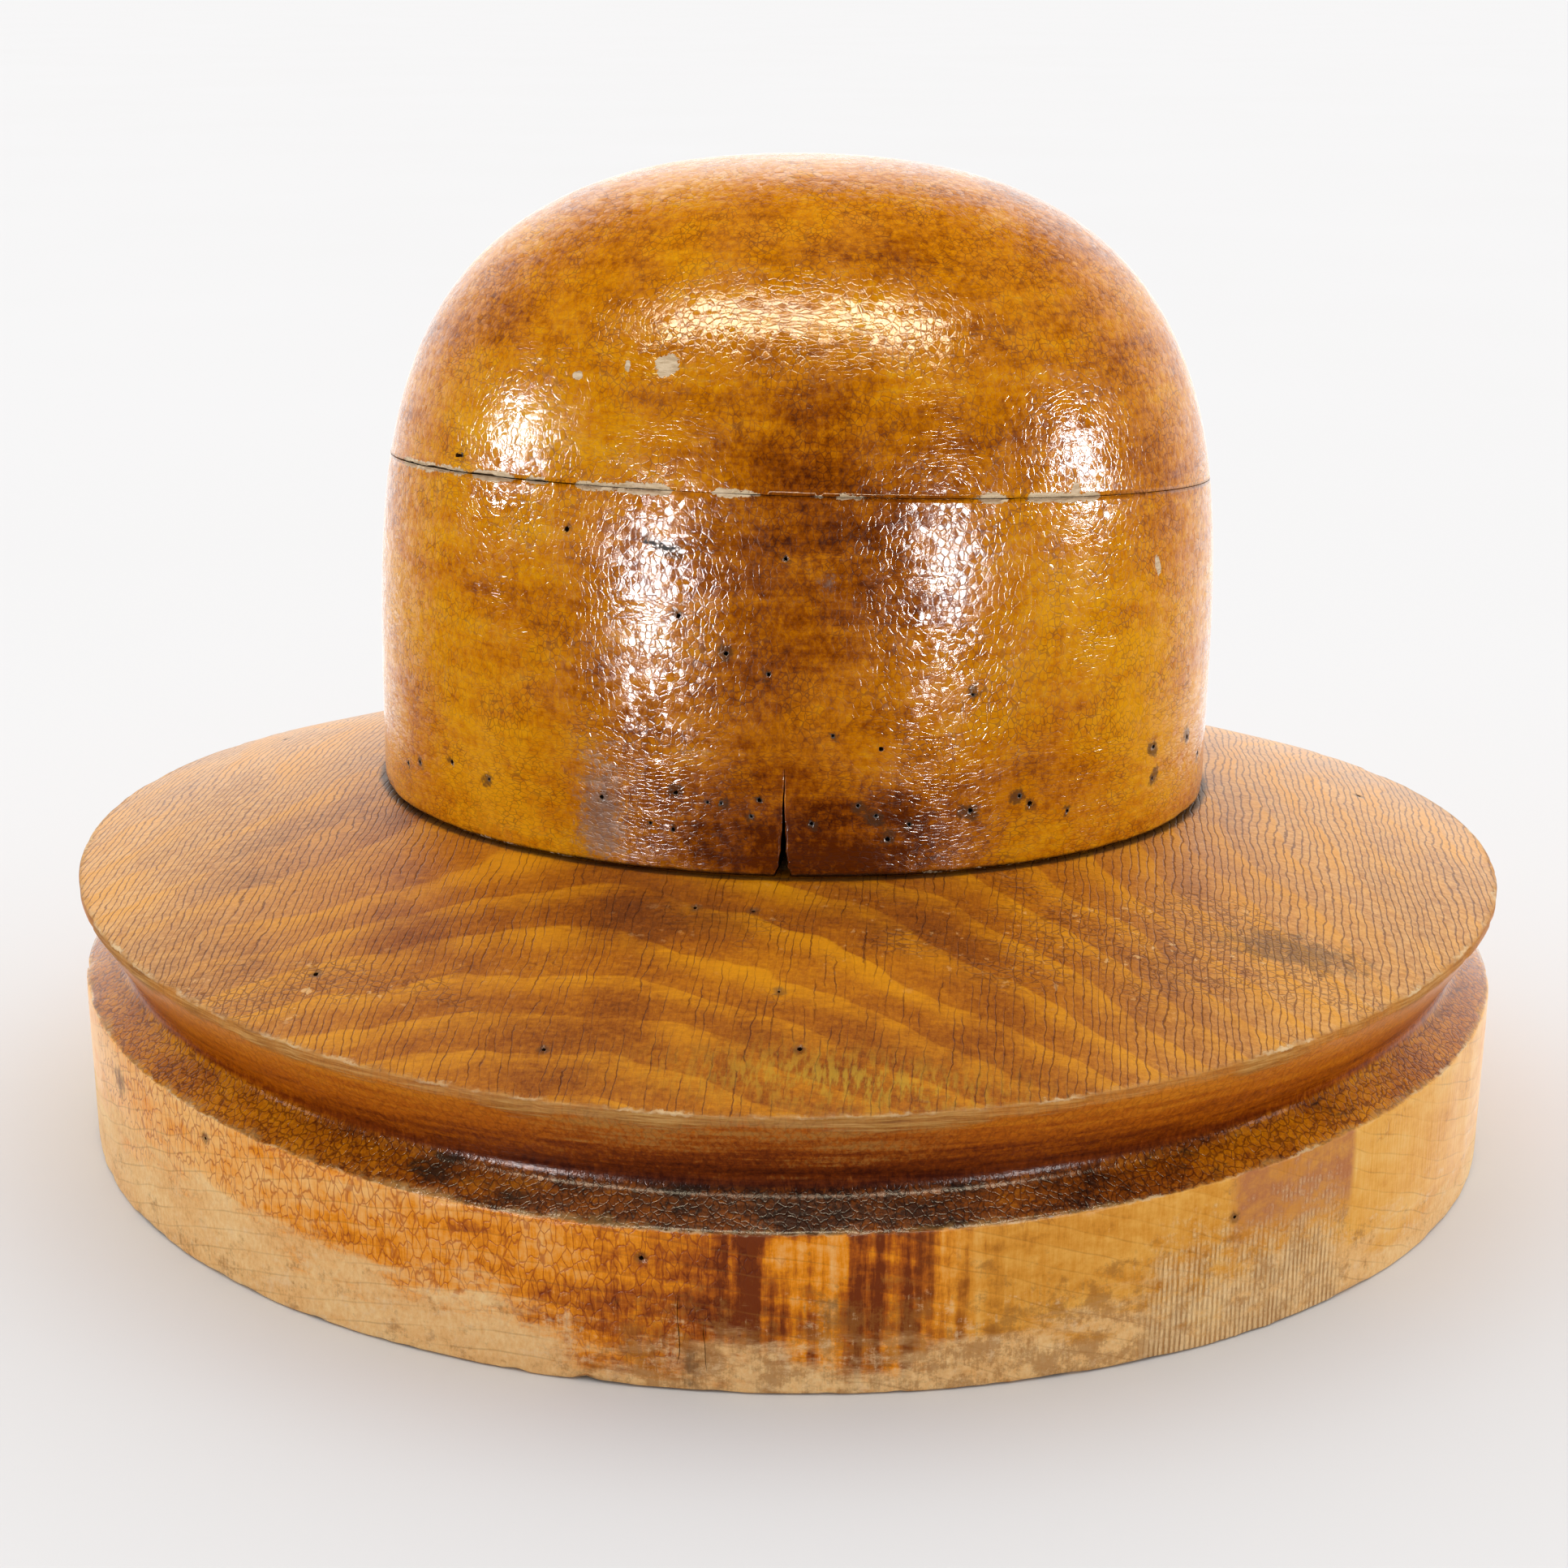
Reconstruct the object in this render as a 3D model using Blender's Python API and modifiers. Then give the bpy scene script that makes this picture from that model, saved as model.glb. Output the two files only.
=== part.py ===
"""Two-part wooden hat block.

A brim block with a rope groove, and an oval crown of two glued boards that lifts straight off it.
Metres, +Z up. The origin is the middle of the underside. +X runs along the length of the head oval,
and the drying check in the crown faces -Y.
"""

import math

import bmesh
import bpy
from mathutils import Matrix, Vector

# Crown: an oval of about 22 1/4 inches round its foot
HEAD_LENGTH = 0.198
HEAD_WIDTH = 0.160
CROWN_HEIGHT = 0.146
SIDE_FULLNESS = 4.05      # larger keeps the sides upright for longer
TOP_FULLNESS = 2.40       # larger makes the top flatter
CROWN_OFFSET = 0.0016     # the crown's foot stands this far off the middle, along +X
CROWN_LEAN = 0.013        # sideways shift along +X per unit of height
FOOT_ROUNDING = 0.0012

# Glue seam between the two boards of the crown
SEAM_HEIGHT = 0.076       # above the seat, in the middle of the crown
SEAM_FRONT_RISE = math.radians(5.2)
SEAM_LEFT_RISE = math.radians(0.75)
SEAM_GAP = 0.0003

# Drying check in the crown's foot, a split that narrows upwards and inwards
CHECK_BEARING = math.radians(-85.7)
CHECK_WIDTH = 0.0028
CHECK_HEIGHT = 0.0245
CHECK_DEPTH = 0.024

# Brim block
BRIM_LENGTH = 0.340
BRIM_WIDTH = 0.310
WALL_HEIGHT = 0.0375      # mean height of the sawn wall under the groove
FLANGE_HEIGHT = 0.0626    # mean height of the flange's top edge
FLANGE_EDGE = 0.0022      # thickness of the flange at its edge
FLANGE_SLOPE = 0.30       # rise of the brim's top per unit of length inwards, at the flange
BRIM_WAVE = 0.0028        # wall and flange rise by this at the two ends and drop by it at the sides
SEAT_HEIGHT = 0.0814
SEAT_MARGIN = 0.0012      # flat seat showing round the crown's foot
BRIM_CROWNING = 0.10      # how far the brim's slope swells above a straight line
GROOVE_DEPTH = 0.0100
GROOVE_APEX = 0.0062      # height of the groove's deepest line above the wall
GROOVE_ROUNDING = 0.0035
EDGE_ROUNDING = 0.0007

# Spindle hole and locating pins
SPINDLE_HOLE_RADIUS = 0.016
SPINDLE_HOLE_RISE = 0.050     # how far the hole goes up into the crown
PIN_RADIUS = 0.006
PIN_SPACING = 0.110
PIN_RISE = 0.018              # length of pin that stands above the seat
PIN_SUNK = 0.025
PIN_TIP_ROUNDING = 0.0015
SOCKET_CLEARANCE = 0.0005
FIT_GAP = 0.0003

# Smoothness of the solids
OVAL_STEPS = 80
DOME_STEPS = 18
SLOPE_STEPS = 6
FILLET_STEPS = 3
HOLE_STEPS = 36
SMOOTH_ANGLE = math.radians(32.0)
MERGE_DISTANCE = 0.00005
PAST_SURFACE = 0.002          # how far a cutter runs past the surface it starts from

# Colour (linear), roughness
WOODS = {
    "crown_shellac": ((0.47, 0.20, 0.035, 1.0), 0.28),
    "crown_top_shellac": ((0.50, 0.22, 0.040, 1.0), 0.28),
    "brim_shellac": ((0.52, 0.25, 0.055, 1.0), 0.42),
    "pin_wood": ((0.55, 0.36, 0.17, 1.0), 0.60),
}


def clear_scene():
    for thing in list(bpy.data.objects):
        bpy.data.objects.remove(thing, do_unlink=True)


def make_collection(name):
    collection = bpy.data.collections.new(name)
    bpy.context.scene.collection.children.link(collection)
    return collection


def make_wood(name):
    colour, roughness = WOODS[name]
    wood = bpy.data.materials.new(name)
    wood.use_nodes = True
    shader = wood.node_tree.nodes["Principled BSDF"]
    shader.inputs["Base Color"].default_value = colour
    shader.inputs["Roughness"].default_value = roughness
    shader.inputs["Metallic"].default_value = 0.0
    wood.diffuse_color = colour
    return wood


def add_piece(name, mesh, collection, wood):
    """Link a finished mesh as one named piece, smooth apart from its real edges."""
    mesh.shade_smooth()
    mesh.set_sharp_from_angle(angle=SMOOTH_ANGLE)
    mesh.materials.clear()
    mesh.materials.append(make_wood(wood))
    piece = bpy.data.objects.new(name, mesh)
    collection.objects.link(piece)
    return piece


def add_cutter(name, mesh, collection):
    cutter = bpy.data.objects.new(name, mesh)
    cutter.hide_render = True
    cutter.display_type = "WIRE"
    collection.objects.link(cutter)
    return cutter


def cut(piece, cutter):
    modifier = piece.modifiers.new(cutter.name, "BOOLEAN")
    modifier.operation = "DIFFERENCE"
    modifier.solver = "EXACT"
    modifier.object = cutter


def cylinder_cutter(name, radius, low, high, x, collection):
    """An upright round cutter from height low to height high, centred at x on the block's length."""
    form = bmesh.new()
    bmesh.ops.create_cone(
        form, cap_ends=True, segments=HOLE_STEPS, radius1=radius, radius2=radius, depth=high - low
    )
    mesh = bpy.data.meshes.new(name)
    form.to_mesh(mesh)
    form.free()
    cutter = add_cutter(name, mesh, collection)
    cutter.location = (x, 0.0, (low + high) / 2)
    return cutter


def fillet(before, corner, after, radius):
    """Replace a corner of a profile by an arc that touches both of its sides."""
    before, corner, after = Vector(before), Vector(corner), Vector(after)
    inward = (before - corner).normalized()
    outward = (after - corner).normalized()
    half_angle = inward.angle(outward) / 2
    middle = corner + (inward + outward).normalized() * (radius / math.sin(half_angle))
    start = corner + inward * (radius / math.tan(half_angle)) - middle
    end = corner + outward * (radius / math.tan(half_angle)) - middle
    steps = range(FILLET_STEPS + 1)
    return [middle + radius * start.slerp(end, step / FILLET_STEPS).normalized() for step in steps]


def brim_profile():
    """Section of the brim block's side, from the underside up to the flange's top edge.

    Each point is (distance in from the outline, height, share of the wave).
    """
    corners = [
        ((GROOVE_DEPTH, 0.0), None),
        ((0.0, 0.0), EDGE_ROUNDING),
        ((0.0, WALL_HEIGHT), EDGE_ROUNDING),
        ((GROOVE_DEPTH, WALL_HEIGHT + GROOVE_APEX), GROOVE_ROUNDING),
        ((0.0, FLANGE_HEIGHT - FLANGE_EDGE), EDGE_ROUNDING),
        ((0.0, FLANGE_HEIGHT), EDGE_ROUNDING),
        ((GROOVE_DEPTH, FLANGE_HEIGHT + FLANGE_SLOPE * GROOVE_DEPTH), None),
    ]
    points = []
    for (before, _), (corner, radius), (after, _) in zip(corners, corners[1:], corners[2:]):
        points += fillet(before, corner, after, radius)
    half_way = WALL_HEIGHT / 2    # the wall's foot is level, and all above it waves
    return [(inset, height, 1.0 if height > half_way else 0.0) for inset, height in points]


def oval_ring(half_length, half_width, height, wave, centre_x=0.0):
    """One closed ring of an oval whose ends stand higher than its sides by twice the wave."""
    ring = []
    for step in range(OVAL_STEPS):
        angle = 2 * math.pi * step / OVAL_STEPS
        x = centre_x + half_length * math.cos(angle)
        y = half_width * math.sin(angle)
        ring.append((x, y, height + wave * math.cos(2 * angle)))
    return ring


def brim_rings():
    """Rings of the brim block from its underside, round the groove and up the slope to the seat."""
    half_length, half_width = BRIM_LENGTH / 2, BRIM_WIDTH / 2
    rings = []
    for inset, height, share in brim_profile():
        rings.append(oval_ring(half_length - inset, half_width - inset, height, share * BRIM_WAVE))
    edge_inset, edge_height, _ = brim_profile()[-1]
    seat_length = HEAD_LENGTH / 2 + SEAT_MARGIN
    seat_width = HEAD_WIDTH / 2 + SEAT_MARGIN
    for step in range(1, SLOPE_STEPS + 1):
        along = step / SLOPE_STEPS
        climb = along + BRIM_CROWNING * math.sin(math.pi * along)
        rings.append(oval_ring(
            (half_length - edge_inset) * (1 - along) + seat_length * along,
            (half_width - edge_inset) * (1 - along) + seat_width * along,
            edge_height + (SEAT_HEIGHT - edge_height) * climb,
            BRIM_WAVE * (1 - along),
            CROWN_OFFSET * along,
        ))
    return rings


def loft(name, rings):
    """One closed skin through the rings, listed from the bottom up, with a flat end at each end."""
    form = bmesh.new()
    loops = [[form.verts.new(point) for point in ring] for ring in rings]
    for lower, upper in zip(loops, loops[1:]):
        for side in range(len(lower)):
            after = (side + 1) % len(lower)
            form.faces.new((lower[side], lower[after], upper[after], upper[side]))
    form.faces.new(reversed(loops[0]))
    form.faces.new(loops[-1])
    mesh = bpy.data.meshes.new(name)
    form.to_mesh(mesh)
    form.free()
    return mesh


def crown_profile():
    """Half outline of the crown from the middle of its top down to the middle of its foot."""
    radius = HEAD_LENGTH / 2
    points = []
    for step in range(DOME_STEPS):
        angle = math.pi / 2 * (1 - step / DOME_STEPS)
        out = math.cos(angle) ** (2 / TOP_FULLNESS) if step else 0.0
        up = math.sin(angle) ** (2 / SIDE_FULLNESS)
        points.append((radius * out, CROWN_HEIGHT * up))
    foot = fillet(points[-1], (radius, 0.0), (0.0, 0.0), FOOT_ROUNDING)
    return points + [tuple(point) for point in foot] + [(0.0, 0.0)]


def turned_crown(name):
    """The whole crown, turned as a round form and then narrowed to an oval that leans a little."""
    profile = crown_profile()
    outline = bpy.data.meshes.new(name + "_outline")
    edges = [(start, start + 1) for start in range(len(profile) - 1)]
    outline.from_pydata([(out, 0.0, up) for out, up in profile], edges, [])
    blank = bpy.data.objects.new(name + "_blank", outline)
    bpy.context.scene.collection.objects.link(blank)
    turning = blank.modifiers.new("turning", "SCREW")
    turning.axis = "Z"
    turning.angle = 2 * math.pi
    turning.steps = OVAL_STEPS
    turning.render_steps = OVAL_STEPS
    turning.use_merge_vertices = True
    turning.merge_threshold = MERGE_DISTANCE
    bpy.context.view_layer.update()
    graph = bpy.context.evaluated_depsgraph_get()
    mesh = bpy.data.meshes.new_from_object(blank.evaluated_get(graph))
    bpy.data.objects.remove(blank, do_unlink=True)
    narrow = Matrix.Diagonal((1.0, HEAD_WIDTH / HEAD_LENGTH, 1.0, 1.0))
    lean = Matrix.Identity(4)
    lean[0][2] = CROWN_LEAN
    mesh.transform(lean @ narrow)
    mesh.name = name
    return mesh


def seam_cutter(name, side, collection):
    """A block that covers all of the crown above the seam (side 1) or below it (side -1)."""
    size = 2 * HEAD_LENGTH
    form = bmesh.new()
    bmesh.ops.create_cube(form, size=size)
    slope = Matrix.Rotation(-SEAM_FRONT_RISE, 4, "X") @ Matrix.Rotation(SEAM_LEFT_RISE, 4, "Y")
    shift = Matrix.Translation((0.0, 0.0, side * (size - SEAM_GAP) / 2))
    bmesh.ops.transform(form, matrix=slope @ shift, verts=form.verts)
    mesh = bpy.data.meshes.new(name)
    form.to_mesh(mesh)
    form.free()
    cutter = add_cutter(name, mesh, collection)
    cutter.location = (CROWN_OFFSET, 0.0, SEAT_HEIGHT + SEAM_HEIGHT)
    return cutter


def check_cutter(collection):
    """The drying check: a slim four-sided point, widest at the crown's surface and foot."""
    form = bmesh.new()
    bmesh.ops.create_cone(
        form, cap_ends=True, segments=4, radius1=1.0, radius2=0.0, depth=CHECK_HEIGHT + PAST_SURFACE
    )
    stretch = Matrix.Diagonal((CHECK_DEPTH, CHECK_WIDTH / 2, 1.0, 1.0))
    bmesh.ops.transform(form, matrix=stretch, verts=form.verts)
    mesh = bpy.data.meshes.new("drying_check")
    form.to_mesh(mesh)
    form.free()
    cutter = add_cutter("drying_check", mesh, collection)
    cutter.location = (
        CROWN_OFFSET + HEAD_LENGTH / 2 * math.cos(CHECK_BEARING),
        HEAD_WIDTH / 2 * math.sin(CHECK_BEARING),
        SEAT_HEIGHT + (CHECK_HEIGHT - PAST_SURFACE) / 2,
    )
    cutter.rotation_euler = (0.0, 0.0, CHECK_BEARING)
    return cutter


def pin_places():
    """Middle of each locating pin along the block's length, by name."""
    return {
        "left": CROWN_OFFSET - PIN_SPACING / 2,
        "right": CROWN_OFFSET + PIN_SPACING / 2,
    }


def make_brim_block(pieces, cutters):
    mesh = loft("brim_block", brim_rings())
    brim = add_piece("brim_block", mesh, pieces, "brim_shellac")
    cut(brim, cylinder_cutter(
        "spindle_hole", SPINDLE_HOLE_RADIUS, -PAST_SURFACE, SEAT_HEIGHT + PAST_SURFACE, CROWN_OFFSET, cutters
    ))
    for side, x in pin_places().items():
        cut(brim, cylinder_cutter(
            "pin_hole_" + side, PIN_RADIUS + FIT_GAP, SEAT_HEIGHT - PIN_SUNK, SEAT_HEIGHT + PAST_SURFACE,
            x, cutters
        ))
    return brim


def make_crown(pieces, cutters):
    """The two boards of the crown, carried by an empty on the line that the crown lifts along."""
    lift = bpy.data.objects.new("crown_lift", None)
    lift.location = (CROWN_OFFSET, 0.0, SEAT_HEIGHT + FIT_GAP)
    pieces.objects.link(lift)
    upper = add_piece("crown_upper", turned_crown("crown_upper"), pieces, "crown_top_shellac")
    lower = add_piece("crown_lower", turned_crown("crown_lower"), pieces, "crown_shellac")
    for board in (upper, lower):
        board.parent = lift
    cut(upper, seam_cutter("below_seam", -1, cutters))
    cut(lower, seam_cutter("above_seam", 1, cutters))
    cut(lower, cylinder_cutter(
        "spindle_top", SPINDLE_HOLE_RADIUS, SEAT_HEIGHT - PAST_SURFACE, SEAT_HEIGHT + SPINDLE_HOLE_RISE,
        CROWN_OFFSET, cutters
    ))
    for side, x in pin_places().items():
        cut(lower, cylinder_cutter(
            "socket_" + side, PIN_RADIUS + SOCKET_CLEARANCE, SEAT_HEIGHT - PAST_SURFACE,
            SEAT_HEIGHT + PIN_RISE + PAST_SURFACE, x, cutters
        ))
    cut(lower, check_cutter(cutters))


def make_locating_pins(pieces):
    """Two round-ended dowels that stand up out of the seat."""
    low = SEAT_HEIGHT - PIN_SUNK + FIT_GAP
    high = SEAT_HEIGHT + PIN_RISE
    for side, x in pin_places().items():
        name = "locating_pin_" + side
        form = bmesh.new()
        bmesh.ops.create_cone(
            form, cap_ends=True, segments=HOLE_STEPS, radius1=PIN_RADIUS, radius2=PIN_RADIUS, depth=high - low
        )
        mesh = bpy.data.meshes.new(name)
        form.to_mesh(mesh)
        form.free()
        pin = add_piece(name, mesh, pieces, "pin_wood")
        pin.location = (x, 0.0, (low + high) / 2)
        tip = pin.modifiers.new("rounded_ends", "BEVEL")
        tip.width = PIN_TIP_ROUNDING
        tip.segments = 2
        tip.limit_method = "ANGLE"


def main():
    clear_scene()
    pieces = make_collection("hat_block")
    cutters = make_collection("cutters")
    make_brim_block(pieces, cutters)
    make_crown(pieces, cutters)
    make_locating_pins(pieces)


main()
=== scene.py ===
import itertools
import math

import bpy
import numpy as np
from mathutils import Matrix, Vector


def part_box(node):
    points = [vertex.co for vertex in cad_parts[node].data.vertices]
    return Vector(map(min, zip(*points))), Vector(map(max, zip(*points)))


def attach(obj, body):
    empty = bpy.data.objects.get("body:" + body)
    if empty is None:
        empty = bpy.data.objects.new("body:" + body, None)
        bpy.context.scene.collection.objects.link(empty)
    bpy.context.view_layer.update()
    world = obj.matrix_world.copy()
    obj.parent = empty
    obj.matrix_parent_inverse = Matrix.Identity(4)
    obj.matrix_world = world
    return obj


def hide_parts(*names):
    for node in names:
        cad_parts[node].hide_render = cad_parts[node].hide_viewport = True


# Looks of a wooden hat block: a shellacked oval crown of two glued boards on a brim block with
# a rope groove. Shapes are worked out in millimetres and written to the meshes in metres.

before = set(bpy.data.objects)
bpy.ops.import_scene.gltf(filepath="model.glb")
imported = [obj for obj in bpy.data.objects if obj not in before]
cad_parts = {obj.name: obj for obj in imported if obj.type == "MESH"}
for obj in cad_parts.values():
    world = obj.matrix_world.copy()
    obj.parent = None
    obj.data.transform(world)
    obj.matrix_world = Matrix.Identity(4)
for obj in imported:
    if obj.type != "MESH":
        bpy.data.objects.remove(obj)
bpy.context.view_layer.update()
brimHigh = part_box("brim_block")[1]
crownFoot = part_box("crown_lower")[0].z * 1000
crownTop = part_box("crown_upper")[1].z * 1000
print("frame loaded")


# Number tools

def easeBetween(value, low, high):
    # 0 below low, 1 above high, and a smooth S between
    share = np.clip((value - low) / (high - low), 0, 1)
    return share * share * (3 - 2 * share)


def band(value, start, full, falling, end):
    # 0 up to start, 1 from full to falling and 0 past end, with a smooth S on each side
    return easeBetween(value, start, full) * (1 - easeBetween(value, falling, end))


def softNoise(points, size, seed):
    # smooth hills from -1 to 1: random heights at the corners of cubes of that size, blended between the
    # eight nearest corners by an S curve along each axis
    heights = np.random.default_rng(seed).uniform(-1, 1, 4096)
    cell = np.floor(points / size)
    share = points / size - cell
    share = share * share * (3 - 2 * share)
    total = 0
    for corner in itertools.product((0, 1), repeat=3):
        key = (cell + corner).astype(np.int64)
        place = (key[..., 0] * 73856093 ^ key[..., 1] * 19349663 ^ key[..., 2] * 83492791) % heights.size
        total = total + heights[place] * np.prod(np.where(corner, share, 1 - share), axis=-1)
    return total


def ringBearings(columns, crowding):
    # bearings right round, closer together at the front, -Y: b = u - crowding cos u
    turn = np.linspace(-math.pi, math.pi, columns, endpoint=False)
    return (turn - crowding * np.cos(turn))[None, :]


def ovalRings(bearing, halfLength, halfWidth, middle, height, wave=0.0):
    # one closed ring a row: x = middle + halfLength cos b, y = halfWidth sin b, z = height + wave cos 2b
    rows = np.broadcast_arrays(halfLength, halfWidth, middle, height, wave)
    halfLength, halfWidth, middle, height, wave = (row[:, None] for row in rows)
    x = middle + halfLength * np.cos(bearing)
    y = halfWidth * np.sin(bearing)
    z = height + wave * np.cos(2 * bearing)
    return np.stack([x, y, z], axis=-1)


def arc(before, corner, after, radius, steps):
    # round a corner of a section: points on the circle of that radius that touches both of its sides
    before, corner, after = (np.array(place, float) for place in (before, corner, after))
    inward = (before - corner) / np.linalg.norm(before - corner)
    outward = (after - corner) / np.linalg.norm(after - corner)
    half = math.acos(float(inward @ outward)) / 2
    middle = corner + (inward + outward) / np.linalg.norm(inward + outward) * radius / math.sin(half)
    start = corner + inward * radius / math.tan(half) - middle
    end = corner + outward * radius / math.tan(half) - middle
    share = np.linspace(0, 1, steps)[:, None]
    points = start * (1 - share) + end * share
    return middle + points / np.linalg.norm(points, axis=1, keepdims=True) * radius


def runBetween(start, end, rows):
    # rows points on a straight run, without its two ends
    share = (np.arange(rows) + 1)[:, None] / (rows + 1)
    return np.array(start) * (1 - share) + np.array(end) * share


def gridNormals(rings, wraps):
    # unit normal at each grid point: the step round the ring crossed with the step to the next ring
    around = np.roll(rings, -1, axis=1) - np.roll(rings, 1, axis=1)
    if wraps:
        along = np.roll(rings, -1, axis=0) - np.roll(rings, 1, axis=0)
    else:
        along = np.gradient(rings, axis=0)
    normal = np.cross(around, along)
    length = np.linalg.norm(normal, axis=-1, keepdims=True)
    return np.where(length > 1e-9, normal / np.maximum(length, 1e-9), 0.0)


def skinGrid(name, rings, wraps):
    # a closed mesh through the rings; wraps joins the last ring to the first, and otherwise the two end
    # rings close in one point each
    rows, columns = rings.shape[:2]
    index = np.arange(rows * columns).reshape(rows, columns)
    beside = np.roll(index, -1, axis=1)
    if wraps:
        points = rings.reshape(-1, 3)
        above, aboveBeside = np.roll(index, -1, axis=0), np.roll(beside, -1, axis=0)
        quads = np.stack([index, beside, aboveBeside, above], axis=-1).reshape(-1, 4)
        faces = quads.tolist()
        faceRows = np.repeat(np.arange(rows), columns)
    else:
        first, last = rows * columns, rows * columns + 1
        points = np.concatenate([rings.reshape(-1, 3), rings[:1].mean(axis=1), rings[-1:].mean(axis=1)])
        quads = np.stack([index[:-1], beside[:-1], beside[1:], index[1:]], axis=-1).reshape(-1, 4)
        start = np.stack([np.full(columns, first), beside[0], index[0]], axis=-1)
        end = np.stack([index[-1], beside[-1], np.full(columns, last)], axis=-1)
        faces = quads.tolist() + start.tolist() + end.tolist()
        faceRows = np.concatenate([
            np.repeat(np.arange(rows - 1), columns), np.zeros(columns, int), np.full(columns, rows - 1)
        ])
    mesh = bpy.data.meshes.new(name)
    mesh.from_pydata((points / 1000).tolist(), [], faces)
    return mesh, faceRows


def addPiece(name, mesh, materials):
    for material in materials:
        mesh.materials.append(material)
    mesh.shade_smooth()
    piece = bpy.data.objects.new(name, mesh)
    bpy.context.scene.collection.objects.link(piece)
    return piece


def cutAway(piece, cutters):
    # cut the cutters out of the piece for good; the walls of each cut take the cutter's material
    for cutter in cutters:
        change = piece.modifiers.new(cutter.name, "BOOLEAN")
        change.operation = "DIFFERENCE"
        change.solver = "EXACT"
        change.material_mode = "TRANSFER"
        change.object = cutter
    graph = bpy.context.evaluated_depsgraph_get()
    mesh = bpy.data.meshes.new_from_object(piece.evaluated_get(graph))
    piece.modifiers.clear()
    piece.data = mesh
    for cutter in cutters:
        bpy.data.objects.remove(cutter)


def meshPoints(piece):
    # the piece's vertices as rows of x, y and z in millimetres
    points = np.empty(len(piece.data.vertices) * 3)
    piece.data.vertices.foreach_get("co", points)
    return points.reshape(-1, 3) * 1000


def storeValues(piece, values):
    # one number for each vertex under each name, which the piece's material reads by that name
    for name, numbers in values.items():
        layer = piece.data.attributes.new(name, "FLOAT", "POINT")
        layer.data.foreach_set("value", np.asarray(numbers, np.float32))


def nearest(points, places):
    # distance in millimetres from each point to the nearest of the places
    gap = np.full(len(points), 1e3)
    for place in places:
        gap = np.minimum(gap, np.linalg.norm(points - place, axis=1))
    return gap


def spots(points, places):
    # a sum of soft round spots, each an amount times exp of minus the squared distance in reaches
    total = 0
    for amount, place, reach in places:
        total = total + amount * np.exp(-np.sum(((points - place) / reach) ** 2, axis=-1))
    return total


# Material tools

class Socket:
    # an output of a node; sums and products of these add Math nodes
    def __init__(self, finish, output):
        self.finish = finish
        self.output = output

    def maths(self, operation, other=0.0):
        return self.finish.node("ShaderNodeMath", {"operation": operation}, {0: self, 1: other})

    def reflected(self, operation, other):
        return self.finish.node("ShaderNodeMath", {"operation": operation}, {0: other, 1: self})

    def __add__(self, other):
        return self.maths("ADD", other)

    def __radd__(self, other):
        return self.maths("ADD", other)

    def __sub__(self, other):
        return self.maths("SUBTRACT", other)

    def __rsub__(self, other):
        return self.reflected("SUBTRACT", other)

    def __mul__(self, other):
        return self.maths("MULTIPLY", other)

    def __rmul__(self, other):
        return self.maths("MULTIPLY", other)

    def __truediv__(self, other):
        return self.maths("DIVIDE", other)


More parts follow.
